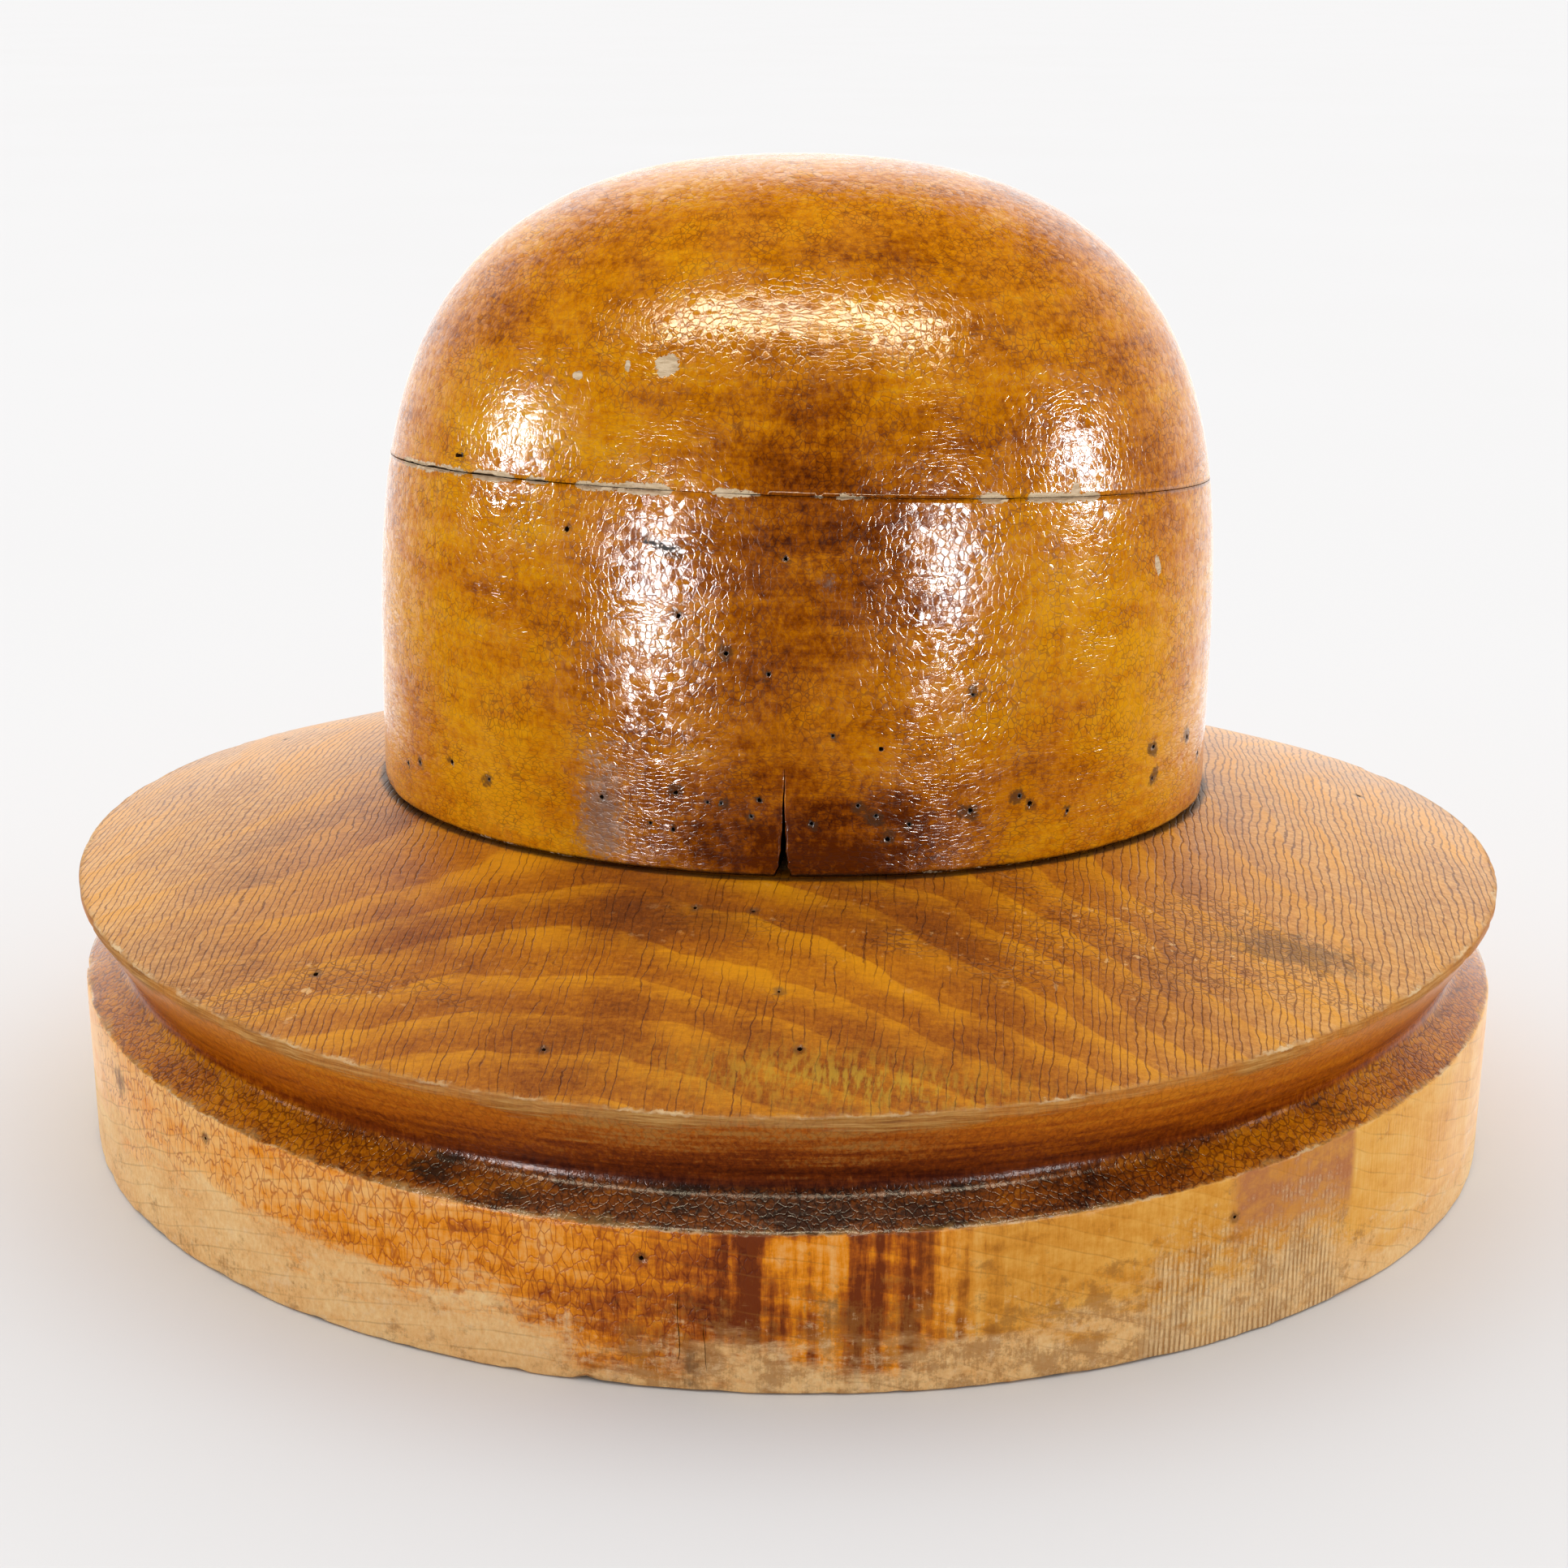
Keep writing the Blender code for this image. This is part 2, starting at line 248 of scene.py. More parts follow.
class Nodes:
    # a node tree: node() adds any node, and the rest are short forms of it
    def __init__(self, tree):
        self.tree = tree

    def node(self, kind, settings, sockets, output=0):
        made = self.tree.nodes.new(kind)
        for name, value in settings.items():
            if name == "stops":
                for step in range(len(value) - 2):
                    made.color_ramp.elements.new(0.5)
                for element, (position, colour) in zip(made.color_ramp.elements, value):
                    element.position = position
                    element.color = (*colour, 1.0)
            else:
                setattr(made, name, value)
        for place, value in sockets.items():
            self.feed(made.inputs[place], value)
        return Socket(self, made.outputs[output])

    def feed(self, entry, value):
        if isinstance(value, Socket):
            self.tree.links.new(value.output, entry)
        elif isinstance(value, tuple) and entry.type == "RGBA":
            entry.default_value = (*value, 1.0)
        else:
            entry.default_value = value

    def vector(self, operation, first, sockets):
        return self.node("ShaderNodeVectorMath", {"operation": operation}, {0: first, **sockets})

    def stretch(self, sizes, shift=(0.0, 0.0, 0.0)):
        # the point measured in steps of these sizes, in millimetres
        scaled = self.vector("MULTIPLY", self.point, {1: tuple(1 / size for size in sizes)})
        return self.vector("ADD", scaled, {1: shift})

    def noise(self, sizes, detail=3.0, roughness=0.55, shift=(0.0, 0.0, 0.0)):
        # soft hills from 0 to 1, of these sizes in millimetres along X, Y and Z
        point = self.stretch(sizes, shift)
        sockets = {"Vector": point, "Scale": 1.0, "Detail": detail, "Roughness": roughness}
        return self.node("ShaderNodeTexNoise", {}, sockets, "Fac")

    def warp(self, point, waves, reach):
        # shift the point by up to reach steps in wandering directions
        sockets = {"Vector": point, "Scale": waves, "Detail": 1.0}
        wander = self.node("ShaderNodeTexNoise", {}, sockets, "Color")
        centred = self.vector("SUBTRACT", wander, {1: (0.5, 0.5, 0.5)})
        return self.vector("ADD", point, {1: self.vector("SCALE", centred, {3: 2 * reach})})

    def cells(self, point, randomness=1.0):
        # distance to the nearest border between random cells one step wide
        settings = {"feature": "DISTANCE_TO_EDGE"}
        sockets = {"Vector": point, "Scale": 1.0, "Randomness": randomness}
        return self.node("ShaderNodeTexVoronoi", settings, sockets, "Distance")

    def cellLean(self, point):
        # a random direction for each of the same cells, from -1 to 1 along each axis
        shade = self.node("ShaderNodeTexVoronoi", {}, {"Vector": point, "Scale": 1.0}, "Color")
        return self.vector("MULTIPLY_ADD", shade, {1: (2.0, 2.0, 2.0), 2: (-1.0, -1.0, -1.0)})

    def dot(self, first, second):
        return self.node("ShaderNodeVectorMath", {"operation": "DOT_PRODUCT"}, {0: first, 1: second}, "Value")

    def between(self, value, low, high, start=0.0, end=1.0):
        # start below low, end above high, and a smooth S between
        settings = {"interpolation_type": "SMOOTHSTEP"}
        sockets = {"Value": value, "From Min": low, "From Max": high, "To Min": start, "To Max": end}
        return self.node("ShaderNodeMapRange", settings, sockets)

    def below(self, value, low, high):
        # 1 below low, 0 above high, and a smooth S between
        return self.between(value, low, high, 1.0, 0.0)

    def stored(self, name):
        return self.node("ShaderNodeAttribute", {"attribute_name": name}, {}, "Fac")

    def blend(self, mask, first, second, how="MIX"):
        settings = {"data_type": "RGBA", "blend_type": how}
        return self.node("ShaderNodeMix", settings, {0: mask, 6: first, 7: second}, 2)

    def ramp(self, value, stops):
        return self.node("ShaderNodeValToRGB", {"stops": stops}, {"Fac": value}, "Color")

    def axis(self, point, name):
        return self.node("ShaderNodeSeparateXYZ", {}, {0: point}, name)


class Finish(Nodes):
    # one material on a Principled shader, with the object's own point in millimetres
    def __init__(self, name):
        self.material = bpy.data.materials.new(name)
        self.material.use_nodes = True
        super().__init__(self.material.node_tree)
        self.shader = self.tree.nodes["Principled BSDF"]
        place = self.node("ShaderNodeTexCoord", {}, {}, "Object")
        self.point = self.vector("SCALE", place, {3: 1000.0})

    def relief(self, height, **sockets):
        # height in millimetres
        sockets = {"Strength": 1.0, "Distance": 0.001, "Height": height, **sockets}
        return self.node("ShaderNodeBump", {}, sockets, "Normal")

    def leaning(self, lean, reach):
        # the surface's normal tipped by a vector, so that flat facets catch the light one by one
        normal = self.node("ShaderNodeNewGeometry", {}, {}, "Normal")
        tipped = self.vector("ADD", normal, {1: self.vector("SCALE", lean, {3: reach})})
        return self.vector("NORMALIZE", tipped, {})

    def dress(self, **sockets):
        for name, value in sockets.items():
            self.feed(self.shader.inputs[name.replace("_", " ")], value)
        return self.material


plankRings = {
    "spacing": 4.4,              # height between growth rings
    "tilt": (0.02, 0.05, 1.0),
    "middle": -18.0,             # the rings arch over this x
    "arch": 0.0019,              # how far a ring falls, for each square millimetre of distance from there
    "wander": 9.0,
    "wanderSizes": (60.0, 50.0, 70.0),
    "lineWidth": 0.07,
}


def ringLines(finish, look):
    # growth rings are arched sheets in the plank: height plus arch times the square of the distance from
    # the middle plus a slow wander, counted in spacings; a ring is pale up to a crisp edge, and has a
    # thin line where the count passes a whole number
    slow = finish.noise(look["wanderSizes"], 3.0)
    aside = finish.axis(finish.point, "X") - look["middle"]
    level = finish.dot(finish.point, look["tilt"]) + aside * aside * look["arch"]
    share = ((level + slow * look["wander"]) / look["spacing"]).maths("FRACT")
    line = finish.between((share - 0.5).maths("ABSOLUTE"), 0.5 - look["lineWidth"], 0.5)
    pale = finish.between(share, 0.35, 0.93) * finish.below(share, 0.95, 1.0)
    return line, pale


# Crown

crown = {
    "halfLength": 99.0,
    "halfWidth": 80.0,
    "sideFullness": 4.05,
    "topFullness": 2.40,
    "offset": 1.6,           # the foot's middle along +X
    "lean": 0.013,           # shift along +X for each millimetre of height
    "footRounding": 1.2,
    "seamHeight": 75.7,      # above the foot, in the middle
    "seamFrontRise": 0.0910,
    "seamLeftRise": 0.0131,
    "seamGap": 0.03,
    "columns": 620,
    "crowding": 0.22,        # how much closer the columns stand at the front
    "lowerRows": 84,
    "upperRows": 116,
    "hills": [(34.0, 0.16), (13.0, 0.07), (5.0, 0.03)],    # unevenness of the hand finish: size, height
    "edgeWear": 0.05,        # rounding of the boards' edges at the seam
    "edgeChips": 1.0,
    "openSeam": 0.08,        # how far each board draws back where the seam has opened
    "openFrom": -157.0,      # bearings in degrees
    "openTo": -114.0,
    "openDepth": 9.0,
    "finishThickness": 0.14,
    "socketRadius": 6.5,
    "socketDepth": 20.0,
}
crown["height"] = crownTop - crownFoot
crown["seamMiddle"] = np.array([crown["offset"] + crown["lean"] * crown["seamHeight"], 0.0, 0.0])

# Where pins held the felt: bearing in degrees round the crown, height above its foot
pinHoles = [
    (-148.5, 10.8), (-144.3, 12.6), (-135.4, 15.9), (-127.6, 14.5), (-109.3, 15.3), (-99.3, 18.0),
    (-95.2, 16.3), (-93.5, 16.3), (-102.6, 10.7), (-99.6, 9.7), (-88.7, 17.4), (-89.7, 13.7),
    (-86.0, 69.6), (-93.1, 49.3), (-87.8, 45.1), (-99.2, 56.8), (-115.1, 73.0), (-73.8, 28.8),
    (-76.5, 16.3), (-74.2, 14.0), (-69.9, 11.7), (-82.2, 12.4), (-72.6, 8.6), (-61.8, 13.9),
    (-54.8, 16.0), (-53.2, 13.9), (-47.0, 10.9), (-29.8, 20.7), (-29.7, 13.3), (-62.0, 39.7),
    (-79.8, 31.9), (-18.7, 19.2), (-12.1, 12.8),
    (12.0, 13.0), (31.0, 15.0), (48.0, 11.0), (66.0, 16.0), (83.0, 12.0), (101.0, 14.0), (119.0, 11.0),
    (137.0, 15.0), (158.0, 12.0), (-168.0, 14.0),
]
upperPinHoles = [(-135.9, 84.9)]

# The drying check at the front of the foot
check = {
    "bearing": -85.7,
    "width": 2.7,            # how far it gapes at the foot
    "slit": 0.45,            # width of the slit that it narrows to
    "height": 24.5,
    "depth": 24.0,
    "wander": 0.10,
    "rows": 30,
}

# A scratch through the finish of the lower board: its two ends, as bearing and height above the foot
scratch = [(-103.9, 72.1), (-100.1, 70.6)]

# Flakes lost from the finish: bearing, height above the foot, length, height, turn in degrees
chips = [(-103.5, 107.7, 5.2, 4.4, 25.0), (-117.1, 104.5, 2.6, 2.0, 0.0), (-109.5, 107.2, 1.2, 2.6, 10.0),
         (-46.0, 81.5, 2.2, 2.8, -20.0), (-30.0, 62.0, 1.8, 4.6, 15.0), (98.0, 96.0, 4.0, 3.0, 30.0)]

# Stretches of the seam with flaked edges: from and to in degrees round the crown, and how much is lost
flakedSeam = [(-156.0, -117.0, 1.10), (-114.0, -100.0, 1.30), (-95.0, -88.0, 1.00), (-83.0, -71.0, 0.75),
              (-62.0, -41.0, 1.20), (40.0, 66.0, 0.9), (120.0, 138.0, 1.0)]


def crownPoint(bearing, height):
    # the head oval scaled by (1 - h^sideFullness)^(1/topFullness), h being the share of the crown's height,
    # and leaning along +X by a share of the height
    share = np.clip(height / crown["height"], 0, 1)
    reach = (1 - share ** crown["sideFullness"]) ** (1 / crown["topFullness"])
    x = crown["offset"] + crown["lean"] * height + crown["halfLength"] * reach * np.cos(bearing)
    y = crown["halfWidth"] * reach * np.sin(bearing)
    return np.stack(np.broadcast_arrays(x, y, crownFoot + height), axis=-1)


def crownNormal(bearing, height):
    # outward unit normal: the step round the crown crossed with the step up it
    step = 0.01
    around = crownPoint(bearing + step, height) - crownPoint(bearing - step, height)
    up = crownPoint(bearing, height + step) - crownPoint(bearing, height - step)
    normal = np.cross(around, up)
    return normal / np.linalg.norm(normal, axis=-1, keepdims=True)


def seamPlane(points):
    # height of the glue seam over the foot: a plane, higher at the front and the left
    away = points[..., 0] - crown["offset"]
    return crown["seamHeight"] - crown["seamLeftRise"] * away - crown["seamFrontRise"] * points[..., 1]


def seamLine(bearing):
    # height over the foot where the seam meets the crown's outside, by a few rounds of substitution
    height = np.full_like(bearing, crown["seamHeight"])
    for _ in range(8):
        height = seamPlane(crownPoint(bearing, height))
    return height


def seamFlakes(points):
    # share of the finish lost along the seam: the listed stretches, broken up by small hills
    degrees = np.degrees(np.arctan2(points[..., 1] / crown["halfWidth"],
                                    (points[..., 0] - crown["offset"]) / crown["halfLength"]))
    share = 0
    for start, end, amount in flakedSeam:
        share = np.maximum(share, amount * band(degrees, start - 2, start + 2, end - 2, end + 2))
    return share * (0.72 + 0.5 * softNoise(points, 3.0, 91) + 0.3 * softNoise(points, 9.0, 92))


def seamEdge(bearing, seed):
    # at each bearing, the rounding of a board's edge and how far the opened seam draws it back
    place = crownPoint(bearing, seamLine(bearing))
    nicks = easeBetween(softNoise(place, 3.2, seed), 0.25, 0.85) * seamFlakes(place)
    degrees = np.degrees(bearing)
    start, end = crown["openFrom"], crown["openTo"]
    opened = band(degrees, start - 6, start + 4, end - 7, end + 3)
    ragged = 0.75 + 0.35 * softNoise(place, 2.6, seed + 2)
    wear = crown["edgeWear"] + crown["edgeChips"] * nicks * (0.25 + 0.55 * opened)
    return wear, crown["openSeam"] * opened * ragged


def seamFace(bearing, wear, drawn, side):
    # from the worn edge to the middle: the edge ring shrunk towards the crown's middle, on the seam's plane
    # shifted by half the gap and by the opening, which fades with depth; side is 1 for the upper board
    line = seamLine(bearing)
    edge = crownPoint(bearing, line)
    reach = edge - crown["seamMiddle"]
    radius = np.linalg.norm(reach[..., :2], axis=-1)
    inset = np.concatenate([np.linspace(0, 1, 7)[1:] * crown["openDepth"], [16.0, 30.0, 48.0, 64.0]])[:, None]
    scale = np.clip(1 - (wear + inset) / radius, 0.02, 1)
    scale = np.concatenate([scale, np.full_like(scale[:1], 0.02)])
    depth = np.concatenate([inset, [[80.0]]])
    points = crown["seamMiddle"] + reach * scale[..., None]
    fade = np.clip(1 - depth / crown["openDepth"], 0, 1) ** 1.5
    points[..., 2] = crownFoot + seamPlane(points) + side * (crown["seamGap"] / 2 + drawn * fade)
    return points


def seamRounding(bearing, wear, drawn, side):
    # quarter circle of radius wear between the board's side and its seam face
    turn = np.linspace(0, math.pi / 2, 5)[:, None]
    level = seamLine(bearing) + side * (crown["seamGap"] / 2 + drawn)
    height = level + side * wear * (1 - np.sin(turn))
    points = crownPoint(bearing, height)
    reach = (points - crown["seamMiddle"])[..., :2]
    radius = np.linalg.norm(reach, axis=-1, keepdims=True)
    points[..., :2] -= reach * (wear * (1 - np.cos(turn)))[..., None] / radius
    return points


def roughen(rings):
    # sink each point along its normal by the hills of the hand finish, never outwards
    sunk = 0
    for step, (size, height) in enumerate(crown["hills"]):
        sunk = sunk + height * (softNoise(rings, size, 41 + step) - 1) / 2
    return rings + gridNormals(rings, False) * sunk[..., None]


def flakeDepth(points):
    # how deep the finish is lost, 0 to 1, from each chip's own oval frame
    lost = 0
    for bearing, height, length, tall, turn in chips:
        place = crownPoint(math.radians(bearing), height)
        normal = crownNormal(math.radians(bearing), height)
        across = np.cross([0.0, 0.0, 1.0], normal)
        across = across / np.linalg.norm(across)
        up = np.cross(normal, across)
        side = (points - place) @ across
        rise = (points - place) @ up
        cosine, sine = math.cos(math.radians(turn)), math.sin(math.radians(turn))
        u = (side * cosine + rise * sine) * 2 / length
        v = (rise * cosine - side * sine) * 2 / tall
        away = (np.abs(u) ** 3 + np.abs(v) ** 3) ** (1 / 3)
        near = np.linalg.norm(points - place, axis=-1) < 12
        lost = np.maximum(lost, np.where(near, 1.6 - away, 0))
    return lost


def sinkFlakes(rings):
    # the finish is as thick as the flakes are deep
    depth = crown["finishThickness"] * easeBetween(flakeDepth(rings), 0.45, 0.75)
    return rings - gridNormals(rings, False) * depth[..., None]


def crownUpperRings():
    # from the middle of the seam's face out to its edge, and up the dome to the apex
    bearing = ringBearings(crown["columns"], crown["crowding"])
    wear, drawn = seamEdge(bearing, 31)
    # outline measured along its own curve, so that the rows are evenly spaced from the seam to the apex
    turn = np.linspace(0, math.pi / 2, 4000)
    out = np.cos(turn) ** (2 / crown["topFullness"])
    up = np.sin(turn) ** (2 / crown["sideFullness"])
    radius = (crown["halfLength"] + crown["halfWidth"]) / 2
    path = np.concatenate([[0], np.cumsum(np.hypot(np.diff(out) * radius, np.diff(up) * crown["height"]))])
    low = seamLine(bearing) + crown["seamGap"] / 2 + drawn + wear
    start = np.interp(low / crown["height"], up, path)
    share = np.linspace(0, 0.997, crown["upperRows"])[:, None]
    angle = np.interp(start + (path[-1] - start) * share, path, turn)
    dome = crownPoint(bearing, crown["height"] * np.sin(angle) ** (2 / crown["sideFullness"]))
    face = seamFace(bearing, wear, drawn, 1)[::-1]
    rounding = seamRounding(bearing, wear, drawn, 1)[::-1]
    rings = np.concatenate([face, rounding[:-1], dome])
    faceCount = len(face)
    sunk = sinkFlakes(roughen(rings))
    return np.concatenate([rings[:faceCount], sunk[faceCount:]]), faceCount


def crownLowerRings():
    # from the hole's blind end down its wall, out under the foot, up the side and over the seam's face
    bearing = ringBearings(crown["columns"], crown["crowding"])
    wear, drawn = seamEdge(bearing, 51)
    hole, bevel, middle, foot = spindle["radius"], spindle["bevel"], crown["offset"], crown["footRounding"]
    blind = np.array([0.02, 0.5, 1.0]) * hole
    blindRings = ovalRings(bearing, blind, blind, middle, crownFoot + spindle["rise"])
    levels = np.linspace(spindle["rise"], bevel, 10)[1:]
    wallRings = ovalRings(bearing, hole, hole, middle, crownFoot + levels)
    share = np.linspace(0, 1, 26)
    underLength = (hole + bevel) * (1 - share) + (crown["halfLength"] - foot) * share
    underWidth = (hole + bevel) * (1 - share) + (crown["halfWidth"] - foot) * share
    underRings = ovalRings(bearing, underLength, underWidth, middle, crownFoot)
    turn = np.linspace(0, math.pi / 2, 6)[1:]
    roundLength = crown["halfLength"] - foot * (1 - np.sin(turn))
    roundWidth = crown["halfWidth"] - foot * (1 - np.sin(turn))
    footRings = ovalRings(bearing, roundLength, roundWidth, middle, crownFoot + foot * (1 - np.cos(turn)))
    top = seamLine(bearing) - crown["seamGap"] / 2 - drawn - wear
    rise = np.linspace(0, 1, crown["lowerRows"])[1:, None]
    side = crownPoint(bearing, foot + (top - foot) * rise)
    rounding = seamRounding(bearing, wear, drawn, -1)
    face = seamFace(bearing, wear, drawn, -1)
    hidden = len(blindRings) + len(wallRings) + len(underRings)
    rings = np.concatenate([blindRings, wallRings, underRings, footRings, side, rounding[1:], face])
    sunk = roughen(rings)
    level = sunk[..., 2] - crownFoot
    rubbed = (1 - easeBetween(level, 0.5, 3.5)) * (0.5 + 0.5 * softNoise(sunk, 5.0, 71)) ** 2
    sunk = sinkFlakes(sunk - gridNormals(sunk, False) * (0.45 * rubbed)[..., None])
    last = len(rings) - len(face)
    return np.concatenate([rings[:hidden], sunk[hidden:last], rings[last:]]), hidden, last


pit = {
    "radius": (0.28, 0.64),              # smallest and largest hole
    "crooked": (0.78, 1.2),
    "section": [(1.2, 1.5), (0.0, 1.0), (-0.5, 0.75), (-3.6, 0.35)],     # height and share of the radius
    "sides": 7,
}


def addCutter(name, mesh, material):
    mesh.materials.append(material)
    cutter = bpy.data.objects.new(name, mesh)
    cutter.hide_render = True
    bpy.context.scene.collection.objects.link(cutter)
    return cutter


def pitCutter(places, normals, seed):
    # a slim crooked cone for each hole: seven-sided rings that narrow from above the surface to the bottom
    random = np.random.default_rng(seed)
    count, sides = len(places), pit["sides"]
    depth, width = np.array(pit["section"]).T
    radius = random.uniform(*pit["radius"], (count, 1, 1)) * width[None, :, None]
    radius = radius * random.uniform(*pit["crooked"], (count, 1, sides))
    turn = np.linspace(0, 2 * math.pi, sides, endpoint=False)[None, None, :]
    across = np.cross(normals, [0.0, 0.0, 1.0])
    flat = np.linalg.norm(across, axis=1) < 0.2
    across[flat] = np.cross(normals[flat], [1.0, 0.0, 0.0])
    across = across / np.linalg.norm(across, axis=1, keepdims=True)
    up = np.cross(normals, across)
    points = (places[:, None, None, :] + normals[:, None, None, :] * depth[None, :, None, None]
              + across[:, None, None, :] * (radius * np.cos(turn))[..., None]
              + up[:, None, None, :] * (radius * np.sin(turn))[..., None])
    index = np.arange(count * len(depth) * sides).reshape(count, len(depth), sides)
    beside = np.roll(index, -1, axis=2)
    quads = np.stack([index[:, :-1], index[:, 1:], beside[:, 1:], beside[:, :-1]], axis=-1).reshape(-1, 4)
    ends = index[:, 0].tolist() + index[:, -1, ::-1].tolist()
    mesh = bpy.data.meshes.new("pin_marks")
    mesh.from_pydata((points.reshape(-1, 3) / 1000).tolist(), [], quads.tolist() + ends)
    return addCutter("pin_marks", mesh, shadedGrimyWood)


def splitCutter(name, surface, along, width, depth, wander, seed):
    # a split in the wood: at each row a thin wedge, surface(along, side) at its mouth, as deep as depth;
    # both sides follow the same wandering line, with small teeth of their own
    rows = len(along)
    path = np.stack([along * 1.7, np.zeros(rows), np.zeros(rows)], axis=1)
    line = wander * softNoise(path, 7.0, seed) + 0.4 * wander * softNoise(path, 2.2, seed + 1)
    teeth = 1 + 0.35 * softNoise(path, 1.6, seed + 2)
    left, normal = surface(along, line - width * teeth / 2)
    right, _ = surface(along, line + width * teeth / 2)
    tip, _ = surface(along, line)
    deep = normal * depth[:, None]
    rings = np.stack([
        left + normal, right + normal, right, right * 0.4 + tip * 0.6 - deep * 0.5, tip - deep,
        left * 0.4 + tip * 0.6 - deep * 0.5, left
    ], axis=1)
    mesh, _ = skinGrid(name, rings, False)
    return addCutter(name, mesh, shadedGrimyWood)


# Brim block

# The hole for the bench spindle; rise is how far it goes up into the crown
spindle = {"radius": 16.0, "rise": 49.7, "bevel": 0.8}

brim = {
    "halfLength": brimHigh.x * 1000,
    "halfWidth": brimHigh.y * 1000,
    "seatHeight": brimHigh.z * 1000,
    "seatHalfLength": 100.2,
    "seatHalfWidth": 81.2,
    "wallHeight": 37.5,
    "flangeHeight": 62.6,
    "flangeEdge": 2.2,
    "wave": 2.8,             # wall and flange stand this much higher at the two ends, and lower at the sides
    "crowning": 0.10,
    "grooveDepth": 10.0,
    "grooveApex": 6.2,       # height of the groove's deepest line over the wall's top edge
    "grooveRounding": 3.5,
    "edgeRounding": 0.7,
    "columns": 560,
    "crowding": 0.30,
    "pinRadius": 6.3,
    "pinSpacing": 110.0,
    "pinDepth": 25.0,
    "crackDepth": 2.5,
    "crackWander": 0.3,
    "footNick": (-21.4, -153.7, 0.5),
    "ridged": (-60.0, -56.0, -42.0, -39.0),      # bearings in degrees where the saw's ridges begin and end
}

brimPinHoles = [(-84.9, -112.9), (-31.2, -138.9), (19.2, -135.9), (13.2, -119.9), (-8.0, -92.5), (4.5, -93.0),
                (62.0, 117.0), (-40.0, 126.0), (140.0, 22.0), (-138.0, 40.0)]
wallPinHoles = [(-9.5, -154.7, 28.7), (-109.2, -118.7, 31.6), (106.3, -120.9, 27.9), (120.0, 109.0, 24.0)]


def flangeTop(points):
    # height of the flange's top edge at each point's bearing
    x, y = points[..., 0] / brim["halfLength"], points[..., 1] / brim["halfWidth"]
    return brim["flangeHeight"] + brim["wave"] * (x * x - y * y) / np.maximum(x * x + y * y, 1e-6)


def brimRings():
    # section of the block as rows of (half length, half width, middle, height, wave), from the spindle
    # hole out under the block, up the wall, round the groove, up the slope and over the seat to the hole;
    # the first and last of the corners only give the way in which the rounded edges begin and end
    bearing = ringBearings(brim["columns"], brim["crowding"])
    wall, flange, edge = brim["wallHeight"], brim["flangeHeight"], brim["edgeRounding"]
    corners = [(10.0, 0.0), (0.0, 0.0), (0.0, wall), (brim["grooveDepth"], wall + brim["grooveApex"]),
               (0.0, flange - brim["flangeEdge"]), (0.0, flange), (10.0, flange + 3.0)]
    radii = [edge, edge, brim["grooveRounding"], edge, edge]
    arcs = []
    for step, radius in enumerate(radii):
        arcs.append(arc(*corners[step:step + 3], radius, 5 if radius == edge else 9))
    runs = [33, 7, 14, 1]     # rows on the wall, the groove's lower and upper sides and the flange's edge
    side = [arcs[0]]
    for first, second, rows in zip(arcs, arcs[1:], runs):
        side += [runBetween(first[-1], second[0], rows), second]
    side = np.concatenate(side)
    lowest, highest = arcs[0][-1][1], arcs[1][0][1]
    wave = brim["wave"] * np.clip((side[:, 1] - lowest) / (highest - lowest), 0, 1)
    length, width = brim["halfLength"] - side[:, 0], brim["halfWidth"] - side[:, 0]
    sideRows = np.stack([length, width, 0 * wave, side[:, 1], wave], 1)
    share = (np.arange(46) + 1) / 46
    climb = share + brim["crowning"] * np.sin(math.pi * share)
    start = sideRows[-1]
    slopeRows = np.stack([
        start[0] * (1 - share) + brim["seatHalfLength"] * share,
        start[1] * (1 - share) + brim["seatHalfWidth"] * share,
        crown["offset"] * share,
        start[3] + (brim["seatHeight"] - start[3]) * climb,
        brim["wave"] * (1 - share),
    ], 1)
    hole, bevel, middle = spindle["radius"], spindle["bevel"], crown["offset"]
    holeLow = (hole + bevel, hole + bevel, middle, 0.0, 0.0)
    holeHigh = (hole + bevel, hole + bevel, middle, brim["seatHeight"], 0.0)
    wallHigh = (hole, hole, middle, brim["seatHeight"] - bevel, 0.0)
    wallLow = (hole, hole, middle, bevel, 0.0)
    underRows = np.concatenate([[holeLow], runBetween(holeLow, sideRows[0], 16)])
    seatRows = np.concatenate([runBetween(slopeRows[-1], holeHigh, 16), [holeHigh]])
    holeRows = np.concatenate([[wallHigh], runBetween(wallHigh, wallLow, 8), [wallLow]])
    section = np.concatenate([underRows, sideRows, slopeRows, seatRows, holeRows])
    rings = ovalRings(bearing, *section.T)
    parts = np.cumsum([len(underRows), len(sideRows), len(slopeRows), len(seatRows)])
    return rings, parts


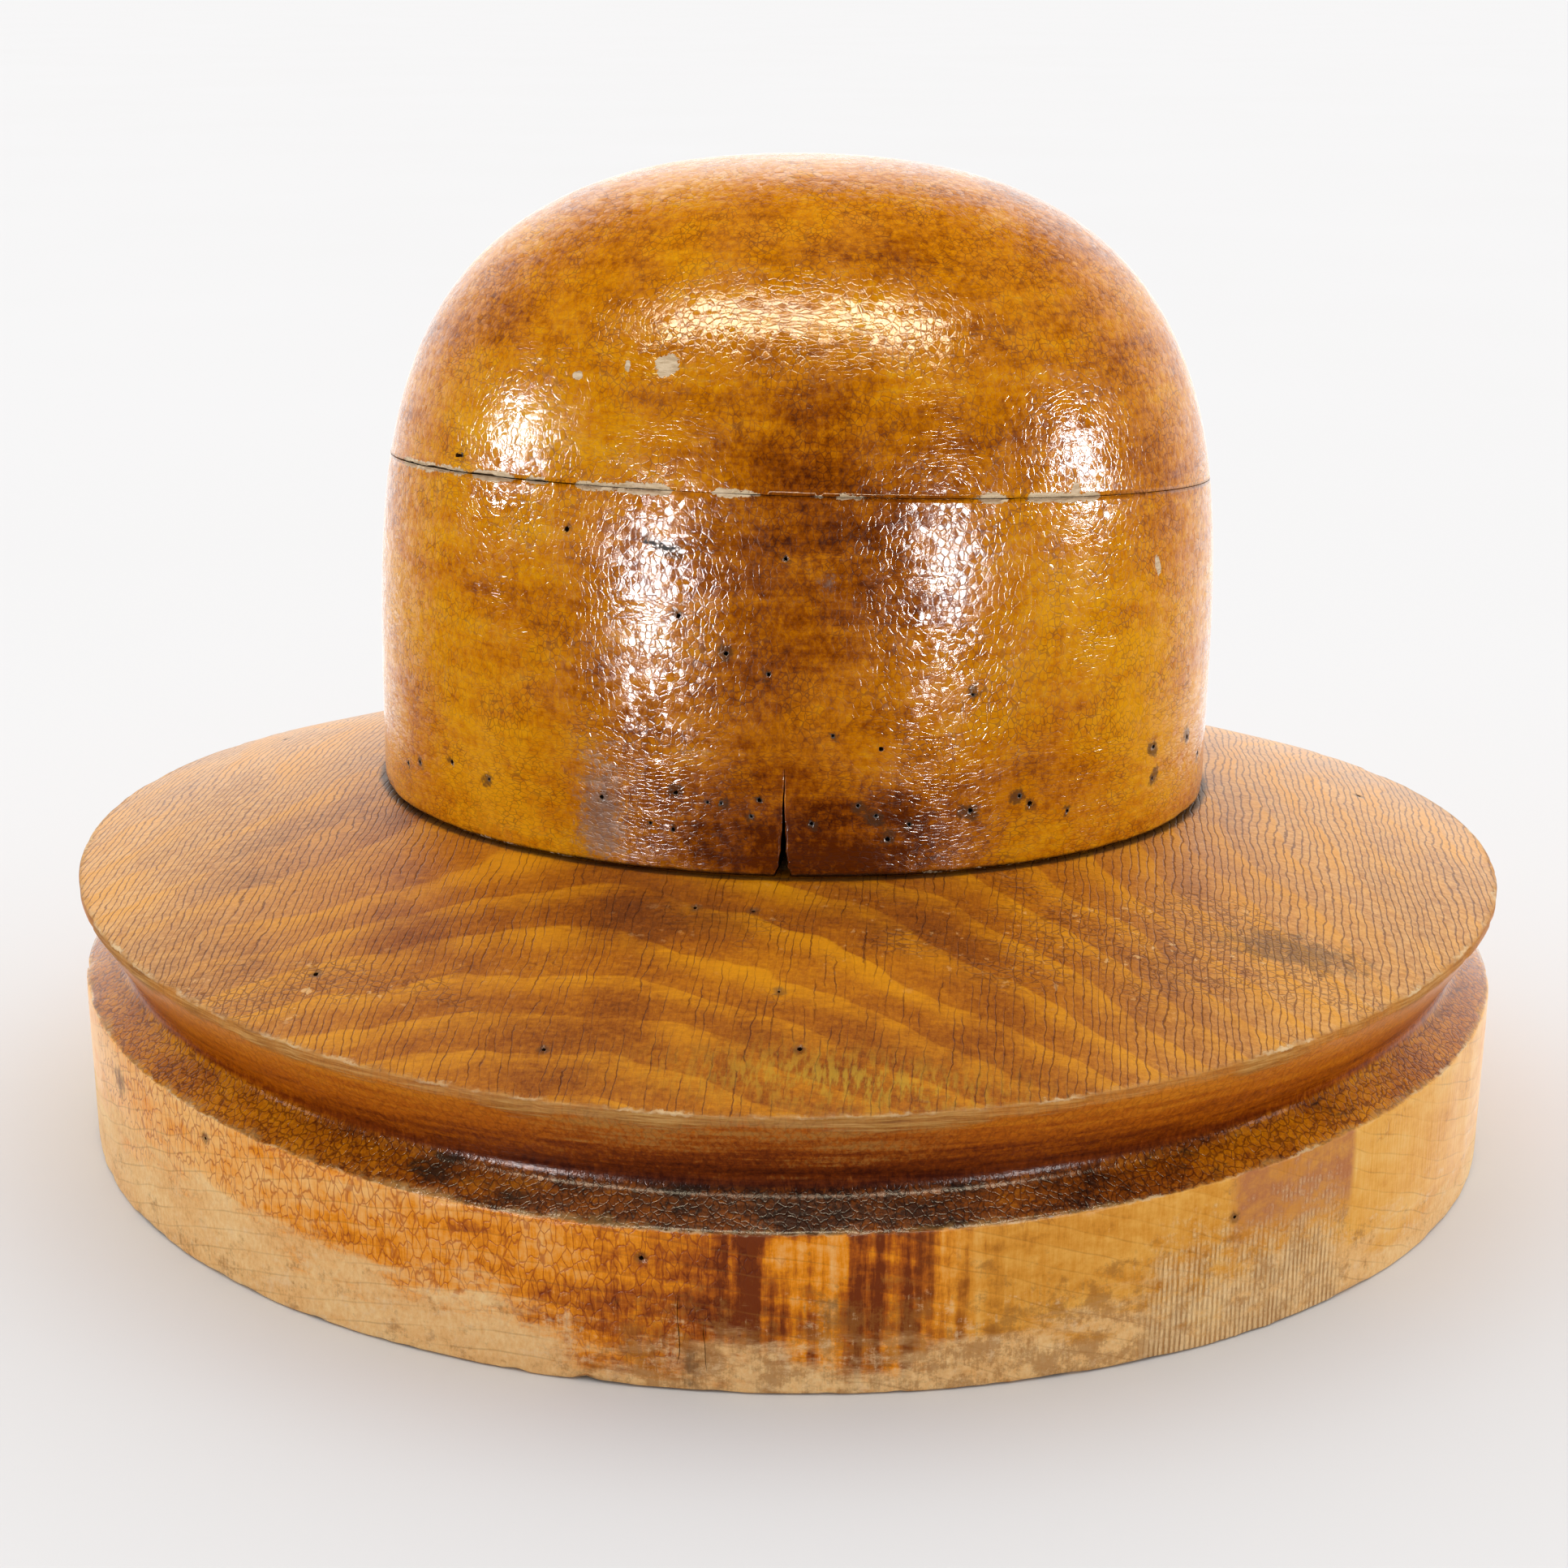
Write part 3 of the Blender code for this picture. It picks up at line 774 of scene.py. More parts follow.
def makeBrimShape():
    rings, parts = brimRings()
    normal = gridNormals(rings, True)
    rows = np.arange(len(rings))[:, None]
    onSide = (rows >= parts[0] - 2) & (rows < parts[1])
    onSlope = (rows >= parts[1]) & (rows < parts[2] - 2)
    bearing = np.arctan2(rings[..., 1] / brim["halfWidth"], rings[..., 0] / brim["halfLength"])
    overFlange = rings[..., 2] - flangeTop(rings)
    overWall = overFlange + brim["flangeHeight"] - brim["wallHeight"]
    onWall = onSide & (overWall < 0.2)
    # the saw left upright facets all round and a band of deeper ridges at the right of the front
    upright = rings * [1.0, 1.0, 0.12]
    saw = 0.10 * softNoise(upright, 4.0, 5) + 0.16 * softNoise(upright, 17.0, 6)
    degrees = np.degrees(bearing)
    saw = saw + band(degrees, *brim["ridged"]) * 0.14 * softNoise(upright, 2.2, 7)
    sunk = np.where(onWall, saw - 0.26, 0)
    # the slope and groove were scraped by hand
    scraped = 0.10 * softNoise(rings, 28.0, 8) + 0.05 * softNoise(rings, 9.0, 9) - 0.15
    sunk = np.where(onSlope | (onSide & ~onWall), scraped, sunk)
    # worn, nicked edges: the flange, the top of the wall and the foot of the wall
    nicks = easeBetween(softNoise(rings, 4.5, 10), 0.15, 0.9)
    nicks = nicks + 0.6 * easeBetween(softNoise(rings, 11.0, 11), 0.2, 0.8)
    atFlange = np.exp(-((overFlange + 1.0) / 1.6) ** 2)
    atWallTop = np.exp(-(overWall / 0.9) ** 2)
    atFoot = np.exp(-(rings[..., 2] / 0.9) ** 2) * onSide
    sunk = sunk - 0.50 * nicks * atFlange - 0.45 * nicks * atWallTop - 0.35 * nicks * atFoot
    nick = np.linalg.norm(rings - np.array(brim["footNick"]), axis=-1)
    sunk = sunk - 1.1 * np.exp(-(nick / 1.8) ** 2)
    # rough underside, seat and hole
    rough = 0.05 * (softNoise(rings * [0.4, 1.0, 1.0], 3.0, 12) - 1)
    sunk = np.where(onSide | onSlope, sunk, rough)
    shape = rings + normal * sunk[..., None]
    mesh, faceRows = skinGrid("brim_block", shape, True)
    bare = (faceRows < parts[0] - 1) | (faceRows >= parts[2] + 1)
    mesh.polygons.foreach_set("material_index", bare.astype(np.int32))
    return mesh


def slopePoint(x, y):
    # a point on the slope over (x, y): its share of the way up is found by halving, then the slope's formula
    low, high = 0.0, 1.0
    for _ in range(30):
        share = (low + high) / 2
        length = brim["halfLength"] * (1 - share) + brim["seatHalfLength"] * share
        width = brim["halfWidth"] * (1 - share) + brim["seatHalfWidth"] * share
        inside = ((x - crown["offset"] * share) / length) ** 2 + (y / width) ** 2 < 1
        low, high = (share, high) if inside else (low, share)
    climb = share + brim["crowning"] * math.sin(math.pi * share)
    turn = 2 * math.atan2(y / width, x / length)
    wave = brim["wave"] * (1 - share) * math.cos(turn)
    return np.array([x, y, brim["flangeHeight"] + (brim["seatHeight"] - brim["flangeHeight"]) * climb + wave])


def slopeNormal(x, y):
    # upward unit normal: the step along X crossed with the step along Y
    step = 0.5
    along = slopePoint(x + step, y) - slopePoint(x - step, y)
    across = slopePoint(x, y + step) - slopePoint(x, y - step)
    normal = np.cross(along, across)
    return normal / np.linalg.norm(normal)


# Finishes

crownLook = {
    "stops": [(0.24, (0.12, 0.020, 0.0)), (0.36, (0.34, 0.080, 0.0)), (0.49, (0.64, 0.205, 0.0)),
              (0.66, (0.84, 0.365, 0.004))],
    "crack": (0.42, 0.36, 0.40),         # what a crack leaves of the colour
    "cellSizes": (1.30, 1.30, 1.60),     # in millimetres
    "levelSizes": (2.10, 2.10, 0.82),
    "tileLean": 0.050,
    "soot": (0.085, 0.036, 0.014),
    "grime": (0.020, 0.009, 0.004),
    "stain": (0.17, 0.085, 0.050),
    "bare": (0.74, 0.55, 0.34),
    "bareDark": (0.50, 0.33, 0.17),
}


def crownShellac():
    finish = Finish("crown_shellac")
    height = finish.axis(finish.point, "Z")
    # broad clouds of darker and lighter wood, with nearly level streaks
    clouds = finish.noise((46.0, 46.0, 34.0), 4.0, 0.6, shift=(3.1, 0.4, 1.7))
    streaks = finish.noise((38.0, 38.0, 6.0), 5.0, 0.68, shift=(0.0, 2.0, 0.0))
    mottle = finish.noise((1.8, 1.8, 2.4), 4.0, 0.75)
    brushed = finish.noise((14.0, 14.0, 0.9), 3.0, 0.7, shift=(6.0, 0.0, 0.0))
    tone = clouds * 0.60 + streaks * 0.42 + (mottle - 0.5) * 0.50 + (brushed - 0.5) * 0.12
    # painted shade and light: the stored shadow darkens the middle of the front and lightens the sides
    tone = tone - finish.stored("shadow")
    colour = finish.ramp(tone, crownLook["stops"])
    # crackle: many-sided cells, and level ones in patches and low on the crown
    low = finish.below(height, 96.0, 120.0)
    cellPoint = finish.warp(finish.stretch(crownLook["cellSizes"]), 0.6, 0.30)
    levelPoint = finish.warp(finish.stretch(crownLook["levelSizes"], (5.0, 0.0, 0.0)), 0.5, 0.30)
    patches = finish.noise((19.0, 19.0, 12.0), 3.0, shift=(8.0, 1.0, 0.0))
    isLevel = finish.between(patches + low * 0.30 - 0.10, 0.47, 0.51)
    border = finish.cells(cellPoint) * (1 - isLevel) + finish.cells(levelPoint) * isLevel
    lean = finish.blend(isLevel, finish.cellLean(cellPoint), finish.cellLean(levelPoint))
    line = finish.below(border, 0.020, 0.100)
    strength = finish.between(finish.noise((9.0, 9.0, 9.0), 3.0), 0.34, 0.66, 0.16, 0.80)
    colour = finish.blend(line * strength, colour, crownLook["crack"], "MULTIPLY")
    # holes, stains, lost flakes, and painted shade along the foot
    hole = finish.stored("holeGap")
    ragged = finish.noise((0.9, 0.9, 0.9), 3.0, 0.6)
    spread = finish.noise((7.0, 7.0, 7.0), 1.0, shift=(4.0, 0.0, 0.0))
    halo = finish.below(hole + (ragged - 0.5) * 3.0 - (spread - 0.5) * 6.0, 0.8, 1.9)
    colour = finish.blend(halo * 0.78, colour, crownLook["soot"])
    ring = finish.below(hole + (ragged - 0.5) * 1.5, 0.35, 0.75)
    colour = finish.blend(ring, colour, crownLook["grime"])
    stain = finish.between(finish.stored("stain") + (ragged - 0.5) * 1.8 + (streaks - 0.5) * 2.0, 0.25, 1.1)
    colour = finish.blend(stain * 0.66, colour, crownLook["stain"])
    lost = finish.between(finish.stored("flake") + (ragged - 0.5) * 1.0, 0.56, 0.64)
    bareTone = finish.noise((3.0, 3.0, 0.5), 4.0, 0.7)
    bare = finish.blend(finish.between(bareTone, 0.35, 0.60), crownLook["bareDark"], crownLook["bare"])
    colour = finish.blend(lost, colour, bare)
    # painted shade: a dark band along the crown's lowest edge, where it meets the brim, drawn in the grime
    # colour
    foot = finish.below(height + (ragged - 0.5) * 1.2, crownFoot + 0.4, crownFoot + 1.3)
    colour = finish.blend(foot * (1 - lost) * 0.80, colour, crownLook["grime"])
    # gloss: cells shine, cracks, bare wood and grime are dull
    sheen = finish.noise((11.0, 11.0, 11.0), 2.0, shift=(0.0, 0.0, 6.0))
    dull = line * 0.08 + stain * 0.22 + lost * 0.5 + ring * 0.6
    roughness = finish.between(sheen, 0.3, 0.7, 0.09, 0.17) + dull
    # flat tiles that each lean a little; relief in millimetres: cracks between them and a wrinkled skin
    tiles = finish.leaning(lean, crownLook["tileLean"])
    skin = finish.noise((1.0, 1.0, 0.7), 2.0, 0.6)
    swell = finish.noise((4.2, 4.2, 2.6), 1.0)
    relief = finish.between(border, 0.0, 0.14) * 0.018 + skin * 0.034 + swell * 0.085 - lost * 0.08
    normal = finish.relief(relief, Normal=tiles)
    return finish.dress(Base_Color=colour, Roughness=roughness, Normal=normal, IOR=1.36)


slopeLook = {
    "stops": [(0.28, (0.15, 0.030, 0.0)), (0.41, (0.30, 0.074, 0.0)), (0.53, (0.46, 0.138, 0.0)),
              (0.70, (0.66, 0.245, 0.0))],
    "crack": (0.36, 0.28, 0.24),         # what a crack leaves of the colour
    "crackPitch": 1.75,
    "crackReach": 0.17,                  # half the width of a crack, in millimetres
    "ring": (0.76, 0.310, 0.0),
    "green": (0.52, 0.31, 0.020),
    "stain": (0.12, 0.055, 0.022),
    "dustAndSheen": (0.82, 0.50, 0.20),
}


def slopeFinish(finish, pale, ragged):
    # amber with arched ring bands, long cracks that run front to back, crazed patches, and painted sheen
    # towards the sides and the back
    clouds = finish.noise((34.0, 34.0, 26.0), 4.0)
    flecks = finish.noise((0.55, 2.6, 2.6), 3.0, 0.7)
    dashes = finish.noise((5.0, 1.1, 1.1), 4.0, 0.7)
    grit = finish.noise((1.3, 1.3, 1.3), 4.0, 0.8, shift=(0.0, 6.0, 0.0))
    tone = clouds * 0.62 + flecks * 0.16 + dashes * 0.22 + pale * 0.05 + (grit - 0.5) * 0.46
    # painted shade on the front of the slope and painted light at its ends, from the stored shadow
    tone = tone - finish.stored("shadow")
    colour = finish.ramp(tone, slopeLook["stops"])
    # painted sheen: the stored haze pales the slope towards its sides and its back, drawn in the dust colour
    haze = finish.stored("haze") * finish.between(dashes * 0.6 + grit * 0.4, 0.36, 0.64, 0.35, 0.85)
    colour = finish.blend(haze * 0.70, colour, slopeLook["dustAndSheen"])
    clear = finish.between(clouds + dashes * 0.4, 0.50, 0.85)
    colour = finish.blend(pale * clear * 0.55, colour, slopeLook["ring"])
    # each crack follows x = a whole number of pitches, plus a slow and a quick wander
    sway = finish.noise((18.0, 42.0, 42.0), 1.0) * 6.0
    quiver = finish.noise((3.5, 6.0, 6.0), 3.0, 0.6, shift=(0.0, 0.0, 4.0)) * 2.2
    count = (finish.axis(finish.point, "X") + sway + quiver) / slopeLook["crackPitch"]
    away = (0.5 - (count.maths("FRACT") - 0.5).maths("ABSOLUTE")) * slopeLook["crackPitch"]
    run = finish.noise((2.5, 17.0, 17.0), 3.0, shift=(6.0, 0.0, 0.0))
    width = slopeLook["crackReach"] * (1 + finish.stored("cracked") * 0.45)
    cracks = finish.below(away, 0.04, width)
    cracks = cracks * finish.between(run + finish.stored("cracked") * 0.20, 0.42, 0.62, 0.16, 1.0)
    crazing = finish.cells(finish.warp(finish.stretch((3.4, 1.7, 1.7), (4.0, 0.0, 0.0)), 0.9, 0.45))
    patches = finish.noise((15.0, 11.0, 11.0), 4.0) + finish.stored("crazed") * 0.40
    crazing = finish.below(crazing, 0.010, 0.090) * finish.between(patches, 0.58, 0.84)
    broken = (cracks * 0.88).maths("MAXIMUM", crazing * 0.75)
    colour = finish.blend(broken, colour, slopeLook["crack"], "MULTIPLY")
    streaks = finish.noise((1.1, 4.5, 4.5), 3.0, 0.65)
    green = finish.stored("green") * finish.between(streaks, 0.42, 0.62)
    colour = finish.blend(green * 0.70, colour, slopeLook["green"])
    crumbs = finish.between(finish.noise((2.6, 2.6, 2.6), 3.0, 0.6, shift=(9.0, 0.0, 0.0)), 0.64, 0.70)
    colour = finish.blend(crumbs * finish.stored("crazed") * 0.7, colour, slopeLook["dustAndSheen"])
    stain = finish.between(finish.stored("stain") + (ragged - 0.5) * 2.2, 0.45, 1.25)
    colour = finish.blend(stain * 0.62, colour, slopeLook["stain"])
    relief = flecks * 0.05 + dashes * 0.06 + grit * 0.09 - broken * 0.10
    return colour, relief


grooveLook = {
    "upper": [(0.22, (0.075, 0.008, 0.0)), (0.40, (0.22, 0.036, 0.0)), (0.58, (0.48, 0.110, 0.0)),
              (0.78, (0.66, 0.205, 0.004))],
    "lower": [(0.28, (0.050, 0.008, 0.0)), (0.46, (0.27, 0.060, 0.0)), (0.62, (0.50, 0.150, 0.0)),
              (0.80, (0.70, 0.260, 0.002))],
    "grime": (0.020, 0.010, 0.005),
    "dust": (0.38, 0.200, 0.050),
    "edge": (0.52, 0.300, 0.090),
}


def grooveFinish(finish, overWall, ragged):
    # thick red-brown finish with painted shade in the middle of the front and towards the groove's deepest
    # line, and grime on the lower side
    dusk = finish.stored("dusk")
    level = finish.noise((26.0, 26.0, 1.6), 4.0, 0.6, shift=(1.0, 0.0, 0.0))
    combed = finish.noise((0.9, 0.9, 3.4), 4.0, 0.7)
    above = finish.between(overWall, brim["grooveApex"] - 0.8, brim["grooveApex"] + 0.8)
    rise = (overWall - brim["grooveApex"]) / 16.0
    specks = finish.noise((1.6, 1.6, 1.6), 4.0, 0.8, shift=(3.0, 0.0, 0.0))
    # painted shade: darker in the middle of the front and towards the groove's deepest line
    upper = level * 0.50 + rise * 0.40 + combed * 0.30 + (specks - 0.5) * 0.36 + 0.06 - dusk * 0.22
    upper = finish.ramp(upper, grooveLook["upper"])
    dust = finish.stored("drips") * finish.between(combed * 0.6 + level * 0.6 + rise * 0.25, 0.72, 0.92)
    upper = finish.blend(dust * 0.60, upper, grooveLook["dust"])
    patches = finish.noise((14.0, 14.0, 5.0), 5.0, 0.65, shift=(0.0, 2.0, 0.0))
    lower = patches * 0.74 + combed * 0.34 + (specks - 0.5) * 0.60 + 0.12 - dusk * 0.32
    lower = finish.ramp(lower, grooveLook["lower"])
    nets = finish.cells(finish.warp(finish.stretch((1.7, 1.7, 4.0), (0.0, 0.0, 3.0)), 1.0, 0.40))
    nets = finish.below(nets, 0.020, 0.120)
    lower = finish.blend(nets * 0.85, lower, slopeLook["crack"], "MULTIPLY")
    upper = finish.blend(nets * 0.30, upper, slopeLook["crack"], "MULTIPLY")
    soiled = finish.noise((15.0, 15.0, 5.0), 5.0, 0.7, shift=(0.0, 5.0, 0.0))
    grime = finish.between(soiled + combed * 0.20 - 0.10 + finish.stored("soiled") * 0.22, 0.60, 0.76)
    grime = grime * finish.between(specks, 0.36, 0.52, 0.40, 0.90)
    lower = finish.blend(grime, lower, grooveLook["grime"])
    edge = finish.below(overWall + (soiled - 0.5) * 5.0 + (ragged - 0.5) * 2.0, -0.2, 1.0)
    lower = finish.blend(edge * 0.50, lower, grooveLook["edge"])
    colour = finish.blend(above, lower, upper)
    off = finish.between((overWall - brim["grooveApex"]).maths("ABSOLUTE"), 0.6, 3.4)
    roughness = 0.12 + dusk * 0.14 + off * above * 0.20
    ripple = finish.noise((1.3, 1.3, 0.9), 3.0, 0.65)
    lumps = finish.noise((3.4, 3.4, 2.0), 2.0, 0.6)
    relief = ripple * 0.070 + lumps * 0.070 + combed * 0.02 - nets * (1 - above) * 0.03
    return colour, roughness, relief


wallLook = {
    "coated": [(0.24, (0.20, 0.032, 0.0)), (0.36, (0.48, 0.105, 0.0)), (0.50, (0.90, 0.290, 0.0)),
               (0.70, (0.98, 0.520, 0.160))],
    "golden": [(0.28, (0.42, 0.130, 0.003)), (0.46, (0.74, 0.300, 0.025)), (0.62, (0.86, 0.420, 0.070)),
               (0.80, (0.90, 0.520, 0.140))],
    "bare": [(0.26, (0.44, 0.210, 0.065)), (0.44, (0.86, 0.490, 0.180)), (0.66, (0.98, 0.700, 0.340))],
    "crack": (0.50, 0.28, 0.20),         # what a crack leaves of the colour
    "brown": (0.34, 0.125, 0.018),
    "pale": (0.88, 0.600, 0.320),
    "purple": (0.50, 0.170, 0.060),
    "soot": (0.13, 0.060, 0.020),
    "ridgePale": (0.94, 0.650, 0.330),
    "ridgeDark": (0.42, 0.180, 0.045),
    "ridgeAlong": (0.816, 0.578, 0.0),
    "ridgePitch": 1.25,
}


def wallFinish(finish, height, line, pale, ragged):
    # orange finish with short upright cracks above, bare sawn wood with stains below, and saw ridges
    clouds = finish.noise((24.0, 24.0, 9.0), 5.0, 0.6, shift=(2.0, 0.0, 0.0))
    bands = finish.noise((4.2, 4.2, 70.0), 2.0, 0.6, shift=(0.0, 7.0, 0.0))
    mottle = finish.noise((3.2, 3.2, 2.4), 4.0, 0.7)
    grain = finish.noise((0.75, 0.75, 7.0), 4.0, 0.75, shift=(2.0, 0.0, 0.0))
    tone = clouds * 0.62 + mottle * 0.36 + (bands - 0.5) * (finish.stored("banded") * 0.9 + 0.15)
    # painted light and shade: the stored wallLight darkens the middle of the front and lightens the sides
    tone = tone + (grain - 0.5) * 0.34 + 0.01 + pale * 0.04 + finish.stored("wallLight")
    coated = finish.ramp(tone, wallLook["coated"])
    golden = finish.ramp(tone, wallLook["golden"])
    colour = finish.blend(finish.stored("golden"), coated, golden)
    upright = finish.cells(finish.warp(finish.stretch((1.9, 1.9, 3.9)), 0.9, 0.50))
    dense = finish.noise((20.0, 20.0, 9.0), 3.0, shift=(3.0, 0.0, 0.0))
    cracks = finish.below(upright, 0.012, 0.080)
    cracks = cracks * finish.between(dense + finish.stored("wallCracked") * 0.40 + height * 0.006, 0.68, 0.98)
    colour = finish.blend(cracks * 0.70, colour, wallLook["crack"], "MULTIPLY")
    # bare wood from the foot up to a ragged level, with fuzz
    fuzz = finish.noise((0.9, 0.9, 1.5), 3.0, 0.7)
    bare = finish.ramp(fuzz * 0.40 + clouds * 0.40 + mottle * 0.20, wallLook["bare"])
    ragEdge = finish.noise((26.0, 26.0, 7.0), 5.0, 0.70, shift=(1.0, 3.0, 0.0))
    worn = finish.below(height + (ragEdge - 0.5) * 44.0 - finish.stored("wornLift"), 6.0, 16.0)
    colour = finish.blend(worn * 0.90, colour, bare)
    # brown blotches and pale scuffs, mostly on the lower half
    lift = finish.between(height, 8.0, 34.0, 0.10, -0.06) + (grain - 0.5) * 0.3
    blotches = finish.noise((7.0, 7.0, 6.0), 6.0, 0.75, shift=(7.0, 0.0, 0.0))
    brown = finish.between(blotches + lift + finish.stored("blotched") * 0.12, 0.64, 0.80)
    colour = finish.blend(brown * 0.60, colour, wallLook["brown"])
    scuffs = finish.noise((7.0, 7.0, 4.0), 6.0, 0.75, shift=(0.0, 0.0, 5.0))
    scuffed = finish.between(scuffs + lift, 0.62, 0.78)
    colour = finish.blend(scuffed * 0.60, colour, wallLook["pale"])
    colour = finish.blend(line * finish.between(dense, 0.35, 0.65, 0.05, 0.34), colour, wallLook["brown"])
    purple = finish.stored("purple") * finish.between(mottle * 0.8 + clouds * 0.8, 0.55, 0.95, 0.25, 0.95)
    colour = finish.blend(purple, colour, wallLook["purple"])
    # ridges that the saw left, pale on their crests and broken along their length
    sway = finish.noise((9.0, 9.0, 60.0), 1.0) * 2.2
    along = finish.dot(finish.point, wallLook["ridgeAlong"]) + sway
    ridge = (along * (2 * math.pi / wallLook["ridgePitch"])).maths("SINE") * 0.5 + 0.5
    ridge = finish.between(ridge * 0.40 + grain * 1.1 - 0.20, 0.30, 0.62)
    unworn = finish.between(dense * 0.6 + mottle + fuzz * 0.3 - height * 0.012, 0.55, 0.95)
    ridged = finish.stored("ridged") * unworn
    ridges = finish.blend(ridge, wallLook["ridgeDark"], wallLook["ridgePale"])
    colour = finish.blend(ridged * 0.62, colour, ridges)
    smudge = finish.between(finish.stored("smudge") + (ragged - 0.5) * 1.4 + (grain - 0.5) * 0.8, 0.35, 1.0)
    colour = finish.blend(smudge * 0.65, colour, wallLook["soot"])
    sawn = finish.noise((0.8, 0.8, 16.0), 2.0)
    relief = sawn * 0.08 + ridge * ridged * 0.22 + fuzz * worn * 0.10 - cracks * (1 - worn) * 0.06
    return colour, worn, relief


rubLook = {
    "stops": [(0.32, (0.22, 0.070, 0.004)), (0.46, (0.40, 0.165, 0.020)), (0.64, (0.60, 0.330, 0.090))],
    "pale": (0.80, 0.600, 0.340),
    "reach": (1.7, 2.6),         # how far down the rubbed band goes at least, and how much more at worst
}


def brimShellac():
    finish = Finish("brim_shellac")
    overFlange, overWall = finish.stored("overFlange"), finish.stored("overWall")
    height = finish.axis(finish.point, "Z")
    ragged = finish.noise((2.2, 2.2, 2.2), 4.0, 0.65)
    line, pale = ringLines(finish, plankRings)
    slope, slopeRelief = slopeFinish(finish, pale, ragged)
    groove, grooveRoughness, grooveRelief = grooveFinish(finish, overWall, ragged)
    wall, worn, wallRelief = wallFinish(finish, height, line, pale, ragged)
    # put together at the flange and at the top of the wall
    jitter = ragged - 0.5
    onSlope = finish.between(overFlange + jitter * 1.2, -0.5, 0.1)
    onGroove = finish.between(overWall + jitter * 0.9, -0.2, 0.3)
    colour = finish.blend(onGroove, wall, groove)
    colour = finish.blend(onSlope, colour, slope)
    # worn edges: a rubbed and streaked band down from the flange's edge, with a broken pale line at its top
    scrape = finish.noise((11.0, 11.0, 0.6), 4.0, 0.7)
    stretches = finish.noise((30.0, 30.0, 30.0), 4.0, shift=(0.0, 1.0, 0.0))
    worst = finish.between(stretches, 0.40, 0.66)
    depth = overFlange + rubLook["reach"][0] + worst * rubLook["reach"][1] + (scrape - 0.5) * 5.0
    rub = finish.between(depth, -1.0, 1.4) * finish.below(overFlange + jitter * 1.4, -0.2, 0.4)
    colour = finish.blend(rub * (0.45 + worst * 0.40), colour, finish.ramp(scrape, rubLook["stops"]))
    lip = finish.below((overFlange + 0.2 + jitter * 1.8).maths("ABSOLUTE"), 0.08, 0.36)
    bits = finish.noise((8.0, 8.0, 8.0), 4.0, 0.6)
    lip = lip * finish.between(bits * 0.5 + stretches * 0.5, 0.48, 0.62)
    colour = finish.blend(lip * 0.75, colour, rubLook["pale"])
    wallEdge = finish.below((overWall + jitter * 2.0).maths("ABSOLUTE"), 0.06, 0.32)
    colour = finish.blend(wallEdge * finish.between(bits, 0.49, 0.64) * 0.55, colour, rubLook["pale"])
    halo = finish.below(finish.stored("holeGap") + jitter * 1.6, 0.9, 2.0)
    colour = finish.blend(halo * 0.60, colour, crownLook["soot"])
    # painted shade: a dark line on the brim round the crown's foot, drawn in the crown's grime colour
    crownGap = finish.stored("crownGap")
    crownShade = finish.below(crownGap + jitter * 1.6, 0.3, 1.7) * finish.between(crownGap, -2.4, -1.0)
    colour = finish.blend(crownShade * 0.80, colour, crownLook["grime"])
    # gloss
    inGroove = (1 - onSlope) * onGroove
    roughness = 0.36 + jitter * 0.12 + rub * 0.15 + (1 - onGroove) * worn * 0.20
    roughness = roughness * (1 - inGroove) + inGroove * (grooveRoughness + rub * 0.3)
    relief = wallRelief * (1 - onGroove) + slopeRelief * onSlope + grooveRelief * inGroove
    relief = relief + rub * (scrape * 0.16 + ragged * 0.10) - halo * 0.10
    return finish.dress(Base_Color=colour, Roughness=roughness, Normal=finish.relief(relief), IOR=1.28)


woodLook = {
    "stops": [(0.30, (0.28, 0.120, 0.034)), (0.50, (0.60, 0.33, 0.125)), (0.70, (0.80, 0.52, 0.24))],
    "ring": (0.26, 0.13, 0.05),
    "pore": (0.16, 0.08, 0.03),
}


def bareWood():
    # sawn wood under the block, on the seat, inside the holes and on the seam's faces
    finish = Finish("bare_wood")
    line, pale = ringLines(finish, plankRings)
    fibre = finish.noise((22.0, 0.8, 0.8), 4.0, 0.65)
    clouds = finish.noise((45.0, 25.0, 25.0), 3.0)
    tone = fibre * 0.45 + clouds * 0.40 + pale * 0.12
    colour = finish.ramp(tone, woodLook["stops"])
    colour = finish.blend(line * 0.35, colour, woodLook["ring"])
    saw = finish.noise((1.3, 60.0, 60.0), 2.0)
    pores = finish.below(finish.cells(finish.stretch((9.0, 0.7, 0.7))), 0.0, 0.10)
    colour = finish.blend(pores * 0.35, colour, woodLook["pore"])
    relief = saw * 0.06 + fibre * 0.05 - pores * 0.03
    roughness = finish.between(fibre, 0.3, 0.7, 0.70, 0.90)
    return finish.dress(Base_Color=colour, Roughness=roughness, Normal=finish.relief(relief), IOR=1.2)


holeLook = {"stops": [(0.3, (0.008, 0.003, 0.001)), (0.7, (0.040, 0.015, 0.005))]}


def darkWood():
    # walls of pin holes and splits, near black: grime and painted shade
    finish = Finish("dark_wood")
    grain = finish.noise((1.5, 1.5, 0.6), 3.0)
    colour = finish.ramp(grain, holeLook["stops"])
    roughness = finish.between(grain, 0.3, 0.7, 0.9, 1.0)
    return finish.dress(Base_Color=colour, Roughness=roughness, Normal=finish.relief(grain * 0.1), IOR=1.05)


dowelLook = {
    "stops": [(0.3, (0.44, 0.21, 0.075)), (0.5, (0.70, 0.42, 0.18)), (0.7, (0.84, 0.57, 0.29))],
    "fleck": (0.22, 0.11, 0.04),
}


